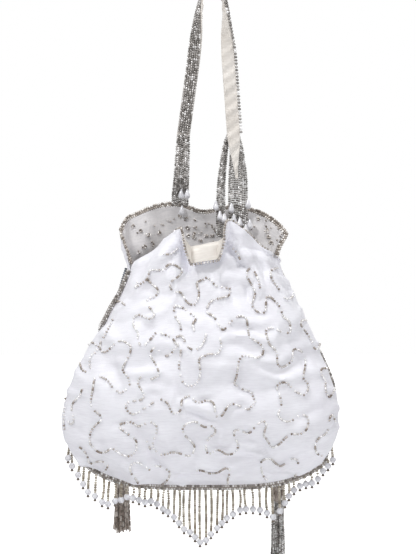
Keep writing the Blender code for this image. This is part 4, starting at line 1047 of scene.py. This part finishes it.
# %% Lines of embroidery
VERMICELLI = (
    ((138, 286), (147, 279), (150, 271), (156, 270), (164, 270), (168, 265), (174, 265), (179, 268),
     (182, 271), (179, 276), (173, 280), (170, 284), (172, 290), (177, 292), (181, 293), (184, 298),
     (188, 303), (194, 305), (198, 299), (199, 292), (197, 285), (198, 282), (203, 280), (207, 278),
     (212, 282), (216, 286), (224, 288), (230, 289), (228, 296), (221, 298), (214, 300), (209, 304),
     (207, 312), (214, 317), (217, 323), (223, 330), (228, 325), (233, 320), (238, 317), (245, 318),
     (247, 322), (248, 330), (249, 336), (254, 340), (261, 345), (263, 353), (257, 358), (250, 357),
     (243, 356), (239, 361), (238, 367), (236, 378), (234, 383), (238, 387), (245, 390), (251, 392),
     (253, 398), (255, 402), (251, 407), (247, 410), (242, 407), (233, 404), (228, 406), (225, 411),
     (220, 417), (215, 415), (215, 411), (213, 403), (206, 401), (200, 403), (194, 401), (192, 396),
     (187, 397), (182, 400), (181, 408), (178, 413), (173, 413), (170, 409), (168, 404), (163, 400),
     (158, 400), (153, 403), (147, 407), (142, 410), (137, 413), (132, 414), (127, 410), (126, 405),
     (129, 402), (135, 401), (141, 400), (144, 397), (143, 392), (139, 386), (138, 381), (141, 377)),
    ((147, 279), (153, 285), (158, 290), (156, 296), (151, 298), (147, 301)),
    ((150, 308), (153, 312), (154, 316), (150, 319), (146, 318), (142, 316), (139, 315), (134, 318),
     (134, 326), (138, 333), (138, 339), (140, 345)),
    ((145, 345), (151, 339), (156, 333)),
    ((162, 334), (168, 336), (173, 339), (175, 343), (178, 346), (174, 349), (171, 354), (166, 356),
     (161, 353), (157, 348), (154, 348), (150, 354), (152, 358), (156, 365), (158, 370), (159, 375),
     (156, 377), (152, 379), (149, 378)),
    ((113, 320), (109, 328), (104, 337), (101, 343), (101, 351), (106, 352), (112, 347), (116, 343),
     (122, 341), (128, 344), (131, 347), (130, 354), (126, 362), (123, 368), (124, 372), (128, 377),
     (129, 380), (130, 385)),
    ((101, 343), (96, 352), (91, 357), (90, 364), (91, 368)),
    ((80, 363), (82, 370), (86, 372)),
    ((87, 347), (93, 343), (96, 345)),
    ((117, 302), (121, 302), (126, 306), (130, 308)),
    ((138, 282), (135, 290), (135, 299)),
    ((126, 390), (121, 393), (117, 391), (112, 387), (108, 381), (103, 378), (99, 377), (95, 379),
     (93, 390), (92, 396), (91, 403), (94, 410), (99, 414), (102, 419), (96, 425), (91, 432), (90, 442),
     (93, 447), (99, 452), (106, 452), (110, 449), (114, 449), (121, 454), (129, 456), (133, 454),
     (136, 450), (136, 441), (132, 437), (125, 432), (119, 427), (122, 424), (129, 422), (133, 423),
     (138, 426), (142, 425), (150, 422), (156, 425), (157, 430), (156, 436), (154, 439), (153, 446),
     (155, 449), (160, 454), (166, 454), (172, 452), (179, 453), (185, 455), (191, 455), (194, 450),
     (194, 445), (188, 438), (184, 434), (183, 428), (188, 423), (196, 422), (204, 427), (210, 426),
     (215, 429), (214, 434), (210, 437), (206, 443), (207, 452), (211, 453), (217, 450), (222, 452),
     (228, 454), (235, 452), (238, 447), (237, 442), (234, 435), (235, 430), (241, 430), (248, 433),
     (254, 428), (258, 424), (263, 421), (266, 425), (265, 429), (264, 435), (266, 438), (269, 443),
     (272, 447), (279, 444), (285, 438), (290, 434), (298, 434), (304, 432), (308, 425), (307, 417),
     (302, 415), (296, 417), (291, 421), (284, 421), (279, 417), (278, 413), (281, 407), (280, 397),
     (277, 390), (278, 384), (284, 382), (288, 384), (293, 390), (298, 393), (304, 395), (308, 389),
     (307, 383), (303, 378), (304, 372), (305, 367), (305, 360), (303, 354), (299, 350), (293, 350),
     (292, 356), (291, 361), (286, 365), (281, 367), (277, 363), (277, 356), (275, 350), (270, 345),
     (267, 338), (266, 331), (270, 328), (275, 329), (281, 332), (287, 333), (290, 331), (289, 322),
     (283, 317), (280, 308), (275, 302), (270, 297), (266, 298), (266, 305), (265, 312), (261, 313),
     (256, 311), (252, 305), (254, 298), (255, 292), (251, 284), (247, 277), (247, 273), (249, 269),
     (254, 271), (257, 277), (259, 283), (260, 288)),
    ((181, 330), (180, 324), (176, 318), (174, 312), (175, 306), (182, 308), (188, 312), (192, 315),
     (196, 319), (193, 324), (194, 330)),
    ((177, 337), (181, 336), (184, 339), (185, 342), (188, 347), (193, 350), (198, 349), (202, 345),
     (205, 339), (206, 335)),
    ((181, 351), (180, 360), (179, 366), (180, 374), (182, 381), (188, 386), (194, 385), (198, 381),
     (200, 375), (200, 367), (199, 361), (201, 357), (205, 356), (209, 354), (217, 354), (221, 347),
     (220, 339)),
    ((82, 391), (80, 396), (75, 401), (72, 407), (73, 413), (74, 420), (72, 424), (68, 421)),
    ((66, 398), (65, 408), (64, 420), (65, 430)),
    ((277, 268), (271, 271), (271, 277), (274, 283), (279, 290), (282, 296), (287, 299), (292, 297),
     (293, 293)),
    ((309, 322), (303, 320), (300, 324), (306, 333), (311, 341), (314, 348), (317, 349), (319, 345)),
    ((334, 388), (333, 392), (329, 397), (326, 393), (325, 387), (325, 381), (321, 374), (322, 369),
     (330, 369)),
    ((335, 422), (332, 415), (329, 419), (329, 425), (326, 433), (318, 439), (315, 446), (317, 453),
     (324, 456)),
    ((80, 447), (84, 450), (88, 457), (90, 463), (95, 462), (102, 461), (108, 465), (104, 472), (100, 476)),
    ((150, 470), (143, 465), (137, 462), (132, 464), (130, 468), (132, 474), (136, 479), (138, 483)),
    ((156, 466), (163, 467), (170, 472), (167, 480), (162, 484)),
    ((197, 470), (201, 470), (205, 471), (210, 473), (218, 472), (221, 470), (227, 468), (230, 471),
     (228, 478), (228, 483)),
    ((267, 480), (263, 475), (261, 466), (261, 462), (265, 459), (271, 459), (275, 463), (280, 466),
     (284, 464), (289, 460), (293, 458), (297, 460), (298, 464), (297, 471), (295, 476)),
    ((240, 259), (238, 254), (233, 248)),
    ((163, 254), (171, 254), (177, 249)),
    ((150, 448), (147, 441)),
)


DOT_STEPS = 5  # points of a line for each dot that it is drawn with
STITCH_LIFT = 0.0006
BUGLE = (0.0018, 0.0028)


def cloth_tree(grid, layer):
    """Search tree over one face of a sheet."""
    return BVHTree.FromPolygons(grid[layer].reshape(-1, 3).tolist(), grid["quads"].tolist())


def laid_on(tree, dots, lift, mirrored=False):
    """Lay a line of picture dots on the cloth, seen from the camera or from behind it."""
    places = smooth_path([dot_place(*dot) for dot in dots], max(2, DOT_STEPS * len(dots)))
    lines = [[]]
    for place in places:
        start = EYE
        if mirrored:
            place = Vector((2 * AXIS_OFFSET - place.x, place.y, place.z))
            start = Vector((place.x, DISTANCE, place.z))
        hit, normal, _face, _gap = tree.ray_cast(start, (place - start).normalized())
        if hit is None:
            lines.append([])
            continue
        if normal.dot(start - hit) < 0.0:
            normal.negate()
        lines[-1].append((hit + normal * lift, normal))
    return [line for line in lines if len(line) > 1]


for side, grid, seed in (("front", FRONT, 21), ("back", BACK, 22)):
    tree = cloth_tree(grid, "outer")
    lines = []
    for dots in VERMICELLI:
        lines += laid_on(tree, dots, STITCH_LIFT, mirrored=side == "back")
    stand_for(string_beads(
        side + "_embroidery", lines, embroidery_beads, pitch=0.0028, thick=0.0021, bugles=0.4, bugle=BUGLE,
        kept=0.88, seed=seed), "silver_beads")

# %% [markdown]
# Small clusters of seed beads are sewn to the inner face of the back collar, where they
# show above the front. Each is one to three short stitches round one place.

# %% Bead clusters
CLUSTERS = (
    (154, 226), (162, 225), (169, 221), (141, 231), (148, 235), (138, 234), (152, 244), (146, 259),
    (143, 263), (173, 219), (194, 221), (195, 228), (194, 234), (194, 237), (207, 225), (211, 224),
    (213, 228), (212, 236), (204, 225), (209, 246), (266, 219), (265, 226), (255, 226), (253, 230),
    (269, 237), (261, 236), (271, 243), (277, 218), (146, 223), (133, 226), (159, 233), (166, 240),
    (144, 247), (156, 252), (139, 252), (164, 247), (180, 216), (186, 219), (188, 228), (200, 233),
    (200, 241), (206, 236), (188, 236), (216, 231), (213, 243), (258, 219), (272, 226), (279, 228),
    (267, 231), (276, 239), (282, 236))
CLUSTER_LIFT = 0.0008
# One source of chance serves these stitches and, after them, the sway of the fringe's strands
stitch_chance = random.Random(31)
lining_tree = cloth_tree(BACK_LINING, "inner")
cluster_lines = []
for across, down in CLUSTERS:
    turn = stitch_chance.uniform(0.0, math.pi)
    for number in range(stitch_chance.choice((1, 2, 3))):
        way = Vector((math.cos(turn + number * 1.1), math.sin(turn + number * 1.1)))
        reach = way * stitch_chance.uniform(1.2, 2.2)
        ends = ((across - reach.x, down - reach.y), (across + reach.x, down + reach.y))
        cluster_lines += laid_on(lining_tree, ends, CLUSTER_LIFT)
stand_for(string_beads(
    "collar_beads", cluster_lines, rim_beads, pitch=0.0019, thick=0.0017, kept=0.7, seed=32), "silver_beads")

# %% [markdown]
# ## Beaded trims
#
# The back collar's rim and the seam carry two rows of seed beads over a dark strip, whose
# taupe paints the shade in the gaps between the beads, and the front collar's rim one row.
# The rows follow the edges of the same sheets.

# %% Trims
BACK_RIM_ROWS = (0.0012, 0.0035)  # how far out from the edge each row of beads lies
# The tape here is the dark strip that paints the shade between the beads.
BACK_RIM_GAP_SHADE = (0.0006, 0.0040)  # and the tape's inner and outer line
FRONT_RIM_ROWS = (0.0011,)
SEAM_ROWS = (0.0007, 0.0031)
SEAM_GAP_SHADE = (-0.0002, 0.0040)
RIM_END_ROW = -0.3  # down to here the rim goes on along the back collar's sides


def edge_frames(grid, picks):
    """Places, outward ways and normals at the picked cells of a sheet's edge."""
    frames = []
    high, wide = grid["places"].shape[:2]
    for row, column in picks:
        place = Vector(grid["places"][row, column])
        normal = Vector(grid["normals"][row, column])
        inward = Vector()
        if row == 0:
            inward += (Vector(grid["places"][2, column]) - place).normalized()
        if column in (0, wide - 1):
            nearby = 2 if column == 0 else wide - 3
            inward += (Vector(grid["places"][row, nearby]) - place).normalized()
        outwards = -(inward - normal * inward.dot(normal)).normalized()
        frames.append((place, outwards, normal))
    return frames


def rim_lines(frames, offsets):
    """Lines of beads beside an edge."""
    middle = (SILK_OFFSETS[0] + LINING_OFFSETS[1]) / 2
    return [[(place + outwards * offset + normal * middle, normal) for place, outwards, normal in frames]
            for offset in offsets]


def closed_mesh(name, vertices, faces, material):
    """Mesh of a closed shape, its normals outwards."""
    made = bpy.data.meshes.new(name)
    made.from_pydata(vertices, [], faces)
    fixer = bmesh.new()
    fixer.from_mesh(made)
    bmesh.ops.recalc_face_normals(fixer, faces=fixer.faces)
    fixer.to_mesh(made)
    fixer.free()
    made.materials.append(material)
    return made


def build_gap_shade(name, lines, half_thick):
    """Make the dark strip under a trim, which paints the shade between its beads: a flat closed strip
    between its inner and outer line.
    """
    vertices = []
    for (near, facing), (far, _facing) in zip(*lines):
        thick = facing * half_thick
        vertices += [near + thick, far + thick, far - thick, near - thick]
    faces = [tuple(start + corner for corner in (side, (side + 1) % 4, 4 + (side + 1) % 4, 4 + side))
             for start in range(0, len(vertices) - 4, 4) for side in range(4)]
    faces += [(3, 2, 1, 0), tuple(range(len(vertices) - 4, len(vertices)))]
    return stand_for(new_object(name, closed_mesh(name, vertices, faces, trim_gap_shade)), "silver_beads")


edge_rows = [index for index, row in enumerate(BACK_ROWS) if row < RIM_END_ROW]
last = len(BACK_COLUMNS) - 1
back_picks = [(row, 0) for row in reversed(edge_rows)] + [(0, column) for column in range(1, last)]
back_picks += [(row, last) for row in edge_rows]
back_frames = edge_frames(BACK, back_picks)
back_rim = string_beads(
    "back_rim_beads", rim_lines(back_frames, BACK_RIM_ROWS), rim_beads,
    pitch=0.0021, thick=0.0025, long=0.0020, seed=41)
build_gap_shade("back_rim_gap_shade", rim_lines(back_frames, BACK_RIM_GAP_SHADE), 0.0004)
last = FRONT["places"].shape[1] - 1
front_frames = edge_frames(FRONT, [(0, column) for column in range(last + 1)])
front_rim = string_beads(
    "front_rim_beads", rim_lines(front_frames, FRONT_RIM_ROWS), rim_beads,
    pitch=0.0026, thick=0.0022, seed=42)
stand_for(back_rim, "silver_beads", "back_rim_trim")
stand_for(front_rim, "silver_beads", "front_rim_trim")

deepest = len(FRONT_ROWS) - 1
side_rows = range(FRONT_COLLAR_ROWS, deepest)
seam_picks = [(row, 0) for row in side_rows] + [(deepest, column) for column in range(last + 1)]
seam_picks += [(row, last) for row in reversed(side_rows)]
seam_frames = []
for row, column in seam_picks:
    normal = Vector(FRONT["normals"][row, column])
    if row == deepest:
        normal = Vector((normal.x, 0.0, min(normal.z, -0.2))).normalized()
    seam_frames.append((Vector(FRONT["outer"][row, column]) + normal * PIECE_GAP, normal))


def seam_lines(offsets):
    """Lines of beads beside the seam."""
    return [[(place + normal * offset, FRONTWARDS) for place, normal in seam_frames] for offset in offsets]


seam_trim = string_beads(
    "seam_beads", seam_lines(SEAM_ROWS), silver_beads, pitch=0.0021, thick=0.0024, long=0.0019, seed=43)
build_gap_shade("seam_gap_shade", seam_lines(SEAM_GAP_SHADE), 0.0005)
stand_for(seam_trim, "silver_beads", "seam_fringe")

# %% [markdown]
# ## Fringe
#
# Strands of smoke-coloured beads hang from the seam trim, each ending in a pearl with a
# seed bead below it. Their lengths draw three points: a long one in the middle and a short
# one at each side.

# %% Fringe
PEARLS = (
    (68, 458), (72, 466), (78, 475), (83, 484), (88, 492), (95, 496), (102, 502), (108, 504), (115, 501),
    (121, 500), (127, 497), (133, 498), (139, 500), (145, 502), (151, 501), (157, 504), (163, 509),
    (168, 512), (174, 517), (179, 523), (184, 529), (190, 532), (195, 537), (200, 542), (206, 540),
    (211, 534), (217, 528), (222, 523), (227, 518), (233, 514), (240, 510), (246, 509), (253, 509),
    (260, 510), (267, 513), (273, 517), (280, 511), (285, 503), (289, 496), (294, 490), (300, 486),
    (306, 484), (312, 483), (318, 479), (323, 471), (328, 466), (333, 460))
PEARL_DIAMETER = 0.0056
TIP_SIZE = (0.0024, 0.0030)  # length and diameter of the bead under a pearl
TIP_GAP = 0.0008
TRIM_EDGE = 0.0034  # how far out from the seam the strands are sewn on
SEWN_BELOW = -0.36  # they are sewn on below this height
trim_edge = [place + normal * TRIM_EDGE for place, normal in seam_frames if place.z < SEWN_BELOW]
fringe = []
strand_lines = []
for across, down in PEARLS:
    pearl = dot_place(across, down)
    # A strand hangs a little outwards from the place where it is sewn on
    inner = AXIS_OFFSET + (pearl.x - AXIS_OFFSET) * 0.99
    top = min(trim_edge, key=lambda place: abs(place.x - inner) + 0.3 * abs(place.y))
    end = pearl + (top - pearl).normalized() * PEARL_DIAMETER * 0.36
    fringe.append(pearl)
    strand_lines.append(strand_down(top, end, stitch_chance.uniform(-0.0009, 0.0009), 8))
stand_for(string_beads(
    "fringe_strands", strand_lines, smoke_beads, pitch=0.0018, thick=0.0028, long=0.0020, bugles=0.3,
    bugle=(0.0025, 0.0019), seed=51), "strand_beads")


def turned_pieces(name, spots, size, profile, material, sides=16):
    """Make one piece of equal turned shapes, of one length and diameter, at the given places."""
    long, thick = size
    count = len(profile) * sides
    turns = [2 * math.pi * side / sides for side in range(sides)]
    vertices = []
    faces = []
    for number, place in enumerate(spots):
        start = number * count
        for share, height in profile:
            vertices += [place + Vector((
                thick / 2 * share * math.sin(angle), thick / 2 * share * math.cos(angle), long * height))
                for angle in turns]
        for level in range(start, start + count - sides, sides):
            for side in range(sides):
                nearby = (side + 1) % sides
                faces.append((level + side, level + sides + side, level + sides + nearby, level + nearby))
        faces.append(tuple(range(start, start + sides)))
        faces.append(tuple(reversed(range(start + count - sides, start + count))))
    made = closed_mesh(name, vertices, faces, material)
    made.shade_smooth()
    print(name, "has", len(spots), "pieces")
    return new_object(name, made)


BALL_TURNS = [math.pi * (step + 0.12) / 10.24 for step in range(11)]
BALL = [(math.sin(turn), 0.5 * math.cos(turn)) for turn in BALL_TURNS]
DROP = (
    (0.1, 0.5), (0.28, 0.46), (0.4, 0.36), (0.58, 0.2), (0.8, 0.04), (0.95, -0.1), (1.0, -0.2),
    (0.93, -0.33), (0.7, -0.43), (0.4, -0.485), (0.1, -0.5))
pearls = turned_pieces("fringe_pearls", fringe, (PEARL_DIAMETER, PEARL_DIAMETER), BALL, pearl_lacquer)
stand_for(pearls, "silver_beads")
below = Vector((0.0, 0.0, PEARL_DIAMETER / 2 + TIP_GAP))
tips = turned_pieces("fringe_tips", [pearl - below for pearl in fringe], TIP_SIZE, BALL, rim_beads, 10)
stand_for(tips, "strand_beads")

# %% [markdown]
# ## Handle
#
# The handle is a satin band whose outer face is covered with rows of seed beads. It twists
# a quarter turn down each leg, so the left leg shows its beads and the right one its
# lining, which puckers where it was stitched to the beadwork. Below the beads the lining
# narrows to a tail, which is knotted among the strands.

# %% Handle path
HANDLE_DROP = 0.116
HANDLE_TAIL = 0.0381
HANDLE_WIDTH = 0.0110
HANDLE_THICKNESS = 0.0022
HANDLE_ROWS = 6
BEND_RADIUS = 0.0175 / 2
LEFT_FOOT = (-0.0247, 0.012)  # across and back from the bend
RIGHT_FOOT = (0.0171, 0.005)
TWIST_LENGTH = 0.075  # way from the bend over which a leg makes its quarter turn
BAND_POINTS = 261
BAND_STEP = 0.00115  # flat length of the band from point to point
SECTION_POINTS = 28
TAIL_HALF = 0.0013


def leg_point(foot, depth):
    """Point of a leg at a depth below the bend."""
    start = math.copysign(BEND_RADIUS, foot[0])
    slope = (foot[0] - start) / HANDLE_DROP
    return (start + slope * depth, foot[1] * depth / HANDLE_DROP, -depth)


def handle_frames(count):
    """Place, width direction and outer direction along the handle, left foot first."""
    top = BEND_RADIUS
    depths = (HANDLE_DROP + HANDLE_TAIL, HANDLE_DROP, HANDLE_DROP * 0.66, HANDLE_DROP * 0.33, top)
    points = [leg_point(LEFT_FOOT, depth) for depth in depths]
    for turn in (-45.0, 0.0, 45.0):
        angle = math.radians(turn)
        points.append((top * math.sin(angle), 0.0, HANDLE_THICKNESS / 2 + top * (math.cos(angle) - 1.0)))
    points += [leg_point(RIGHT_FOOT, depth) for depth in reversed(depths)]
    path = smooth_path(points, count)
    step = path_length(path) / (count - 1)
    highest = max(range(count), key=lambda index: path[index].z)
    frames = []
    for index, place in enumerate(path):
        forward = (path[min(index + 1, count - 1)] - path[max(index - 1, 0)]).normalized()
        distance = (highest - index) * step
        quarter = 90.0 * float(smooth_step(0.0, TWIST_LENGTH, abs(distance)))
        turn = math.radians(math.copysign(quarter, distance))
        level = (FRONTWARDS - forward * FRONTWARDS.dot(forward)).normalized()
        across = level * math.cos(turn) + forward.cross(level) * math.sin(turn)
        frames.append((place, across, across.cross(forward)))
    print("the handle's band is", round(1000 * step * (count - 1)), "mm long")
    return frames


# %% Handle band and beads
def section_point(turn):
    """Point of the band's section, a flat oval from -1 to 1 both ways."""
    wide = math.cos(turn)
    deep = math.sin(turn)
    return math.copysign(abs(wide) ** 0.5, wide), math.copysign(abs(deep) ** 0.7, deep)


band_frames = handle_frames(BAND_POINTS)
SECTION = [section_point(turn) for turn in np.linspace(0.0, 2 * math.pi, SECTION_POINTS, endpoint=False)]


def build_band():
    """Make the satin band with its puckers and its narrowing tails."""
    vertices = []
    flat = []
    for index, (place, across, outer) in enumerate(band_frames):
        past = -place.z - HANDLE_DROP
        narrowing = float(smooth_step(0.0, HANDLE_TAIL, past))
        reach = HANDLE_WIDTH / 2 + (TAIL_HALF - HANDLE_WIDTH / 2) * narrowing
        for wide, deep in SECTION:
            # Two waves of different length keep the puckers on the inner face uneven
            pucker = 0.6 * math.sin(0.8 * index + 2.4 * wide) + 0.4 * math.sin(0.33 * index + 1.5 * wide)
            lift = 0.0009 * pucker * (1.0 - abs(wide) ** 6) if deep < 0.0 else 0.0
            vertices.append(place + across * reach * wide + outer * (HANDLE_THICKNESS / 2 * deep - lift))
            flat.append((reach * wide, index * BAND_STEP))
    count = len(SECTION)
    faces = []
    for level in range(0, count * (len(band_frames) - 1), count):
        for side in range(count):
            nearby = (side + 1) % count
            faces.append((level + side, level + nearby, level + count + nearby, level + count + side))
    faces.append(tuple(reversed(range(count))))
    faces.append(tuple(range(len(vertices) - count, len(vertices))))
    mesh = closed_mesh("handle_satin", vertices, faces, satin_lining)
    layer = mesh.uv_layers.new(name="cloth")
    for loop in mesh.loops:
        layer.data[loop.index].uv = flat[loop.vertex_index]
    mesh.shade_smooth()
    return new_object("handle_satin", mesh)


BEAD_OUT = 0.0009  # from the band's face to the middle of its bead rows
EDGE_OUT = 0.0011  # from the band's edge to the middle of the row beside it

stand_for(build_band(), "satin", "handle_band")
beaded = [frame_of for frame_of in band_frames if -frame_of[0].z < HANDLE_DROP]
bead_lines = []
for number in range(HANDLE_ROWS):
    sideways = HANDLE_WIDTH * ((number + 0.5) / HANDLE_ROWS - 0.5)
    bead_lines.append([(place + across * sideways + outer * (HANDLE_THICKNESS / 2 + BEAD_OUT), outer)
                       for place, across, outer in beaded])
right_leg = [frame_of for frame_of in beaded if frame_of[0].x > 0.006]
edge_side = math.copysign(1.0, right_leg[-1][1].x)
edge_line = [(place + across * edge_side * (HANDLE_WIDTH / 2 + EDGE_OUT), -outer)
             for place, across, outer in right_leg]
stand_for(string_beads(
    "handle_edge_beads", [edge_line], handle_glass, pitch=0.0027, thick=0.0027, long=0.0024, seed=62),
    "silver_beads")
stand_for(string_beads(
    "handle_bead_rows", bead_lines, handle_glass, pitch=0.0021, thick=0.0018, long=0.0022, seed=61),
    "silver_beads", "handle_beads")

# %% [markdown]
# ## Strand bunches
#
# Below the band the bead rows part into loose strands, which tie the handle to the back
# collar. Drop pearls hang at their ends.

# %% Bunches
# For each bunch: the number of its strands, and stations down it in millimetres, each the
# place of its middle and its width
BUNCHES = {
    "left_handle_strands": (9, (
        (-24.7, 10.3, -117.2, 11.0), (-25.3, 11.2, -129.0, 13.0), (-26.6, 13.0, -154.0, 14.5),
        (-27.7, 26.4, -167.0, 15.9), (-27.7, 30.5, -176.5, 15.6))),
    "right_handle_strands": (10, (
        (18.8, 10.4, -117.2, 7.3), (19.8, 11.4, -128.0, 12.0), (21.0, 16.0, -152.0, 17.5),
        (21.2, 20.6, -173.6, 18.5), (21.8, 20.0, -199.0, 17.0))),
    "inner_handle_strands": (5, (
        (13.2, 10.4, -117.2, 2.9), (10.4, 11.4, -128.0, 4.9), (7.0, 15.6, -158.0, 7.6),
        (6.6, 20.0, -183.0, 8.6), (6.6, 19.6, -204.0, 8.0)))}
# Each drop: its picture dot, and how far back it hangs in millimetres
DROPS = (
    (181.0, 193.0, 17.0), (187.0, 193.0, 17.0), (181.6, 209.5, 23.5), (216.0, 205.0, 15.0),
    (231.6, 207.5, 14.0), (220.0, 215.5, 14.0), (224.5, 218.0, 13.0), (234.0, 218.5, 14.0),
    (240.0, 222.0, 13.5), (250.0, 224.0, 15.0), (246.0, 229.0, 12.5), (248.5, 203.0, 19.0))
DROP_SIZE = (0.0086, 0.0050)
for name, (strands, stations) in BUNCHES.items():
    lines = []
    for number in range(strands):
        share = (number + 0.5) / strands - 0.5
        # Neighbouring strands lie at different depths, so that the bunch is not flat
        points = [Vector((x + width * share * 0.9, y - 2.0 + 1.1 * math.sin(5.0 * number), z)) * 0.001
                  for x, y, z, width in stations]
        lines.append([(place, FRONTWARDS) for place in smooth_path(points, 40)])
    bunch = string_beads(
        name.replace("strands", "bead_strands"), lines, handle_glass,
        pitch=0.0019, thick=0.0021, long=0.0019, seed=71)
    stand_for(bunch, "silver_beads", name)
spots = [dot_place(across, down) + Vector((0.0, 0.001 * deep, 0.0)) for across, down, deep in DROPS]
stand_for(turned_pieces("drop_pearls", spots, DROP_SIZE, DROP, pearl_lacquer, 24), "silver_beads")

# %% [markdown]
# ## Drawstring
#
# The drawstring runs unseen in its casing between silk and lining, and keeps its CAD shape.

# %% Drawstring material
string_cord, string_tree, string_shader = new_material("satin cord, twisted, cream", "#E8E0D4", 0.45)
twist = add_node(string_tree, "ShaderNodeTexWave", {
    "Vector": add_node(string_tree, "ShaderNodeTexCoord").outputs["Object"], "Scale": WAVE_LENGTH / 0.0012,
    "Distortion": 0.4}, bands_direction="DIAGONAL")
string_bump = add_node(string_tree, "ShaderNodeBump", {
    "Height": twist.outputs["Fac"], "Strength": 0.6, "Distance": 0.0003})
string_tree.links.new(string_bump.outputs[0], string_shader.inputs["Normal"])
for name in ("front_drawstring", "back_drawstring"):
    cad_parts[name].data.materials.clear()
    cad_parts[name].data.materials.append(string_cord)

# %% [markdown]
# ## Studio
#
# The bag hangs over a plain pale floor in a white surround. Camera, mirror and glass rays
# see the surround as white, while the light that falls on the bag comes mostly from large
# soft lamps, so that the folds of the silk keep their shade.

# %% Floor, surround and lamps
FLOOR_HEIGHT = -0.5
FLOOR_HALF = 6.0
WHITE = (1.0, 1.0, 1.0, 1.0)
floor_mesh = bpy.data.meshes.new("floor")
floor_turns = ((-1, -1), (1, -1), (1, 1), (-1, 1))
floor_corners = [(FLOOR_HALF * x, FLOOR_HALF * y, FLOOR_HEIGHT) for x, y in floor_turns]
floor_mesh.from_pydata(floor_corners, [], [(0, 1, 2, 3)])
floor = new_object("floor", floor_mesh)
floor_paint, floor_tree, floor_shader = new_material("studio floor, painted white", "#F4F4F5", 0.7)
floor_rays = add_node(floor_tree, "ShaderNodeLightPath")
floor_shader.inputs["Emission Color"].default_value = WHITE
floor_tree.links.new(floor_rays.outputs["Is Camera Ray"], floor_shader.inputs["Emission Strength"])
floor_mesh.materials.append(floor_paint)

world = bpy.data.worlds.new("surround")
bpy.context.scene.world = world
world.use_nodes = True
world_tree = world.node_tree
rays = add_node(world_tree, "ShaderNodeLightPath")
seen = rays.outputs["Is Camera Ray"]
for kind in ("Is Glossy Ray", "Is Transmission Ray"):
    either = add_node(world_tree, "ShaderNodeMath", {0: seen, 1: rays.outputs[kind]}, operation="MAXIMUM")
    seen = either.outputs[0]
strength = add_node(world_tree, "ShaderNodeMapRange", {"Value": seen, "To Min": 0.3, "To Max": 1.0})
surround = world_tree.nodes["Background"]
surround.inputs["Color"].default_value = WHITE
world_tree.links.new(strength.outputs[0], surround.inputs["Strength"])

# Each lamp: its place, its diameter and its power in watts
LAMPS = {
    "key lamp": ((-0.9, -0.85, 0.9), 0.35, 11.6),
    "fill lamp": ((1.3, -1.3, -0.1), 1.2, 6.8),
    "top lamp": ((0.2, -0.35, 1.2), 0.5, 8.5),
    "back lamp": ((0.5, 1.4, 0.3), 0.9, 5.0)}
AIM = Vector((0.0, 0.0, -0.28))
for name, (place, size, power) in LAMPS.items():
    light = bpy.data.lights.new(name, "AREA")
    light.shape = "DISK"
    light.size = size
    light.energy = power
    lamp = new_object(name, light)
    lamp.location = place
    lamp.rotation_euler = (AIM - Vector(place)).to_track_quat("-Z", "Y").to_euler()
bpy.context.scene.view_settings.view_transform = "Standard"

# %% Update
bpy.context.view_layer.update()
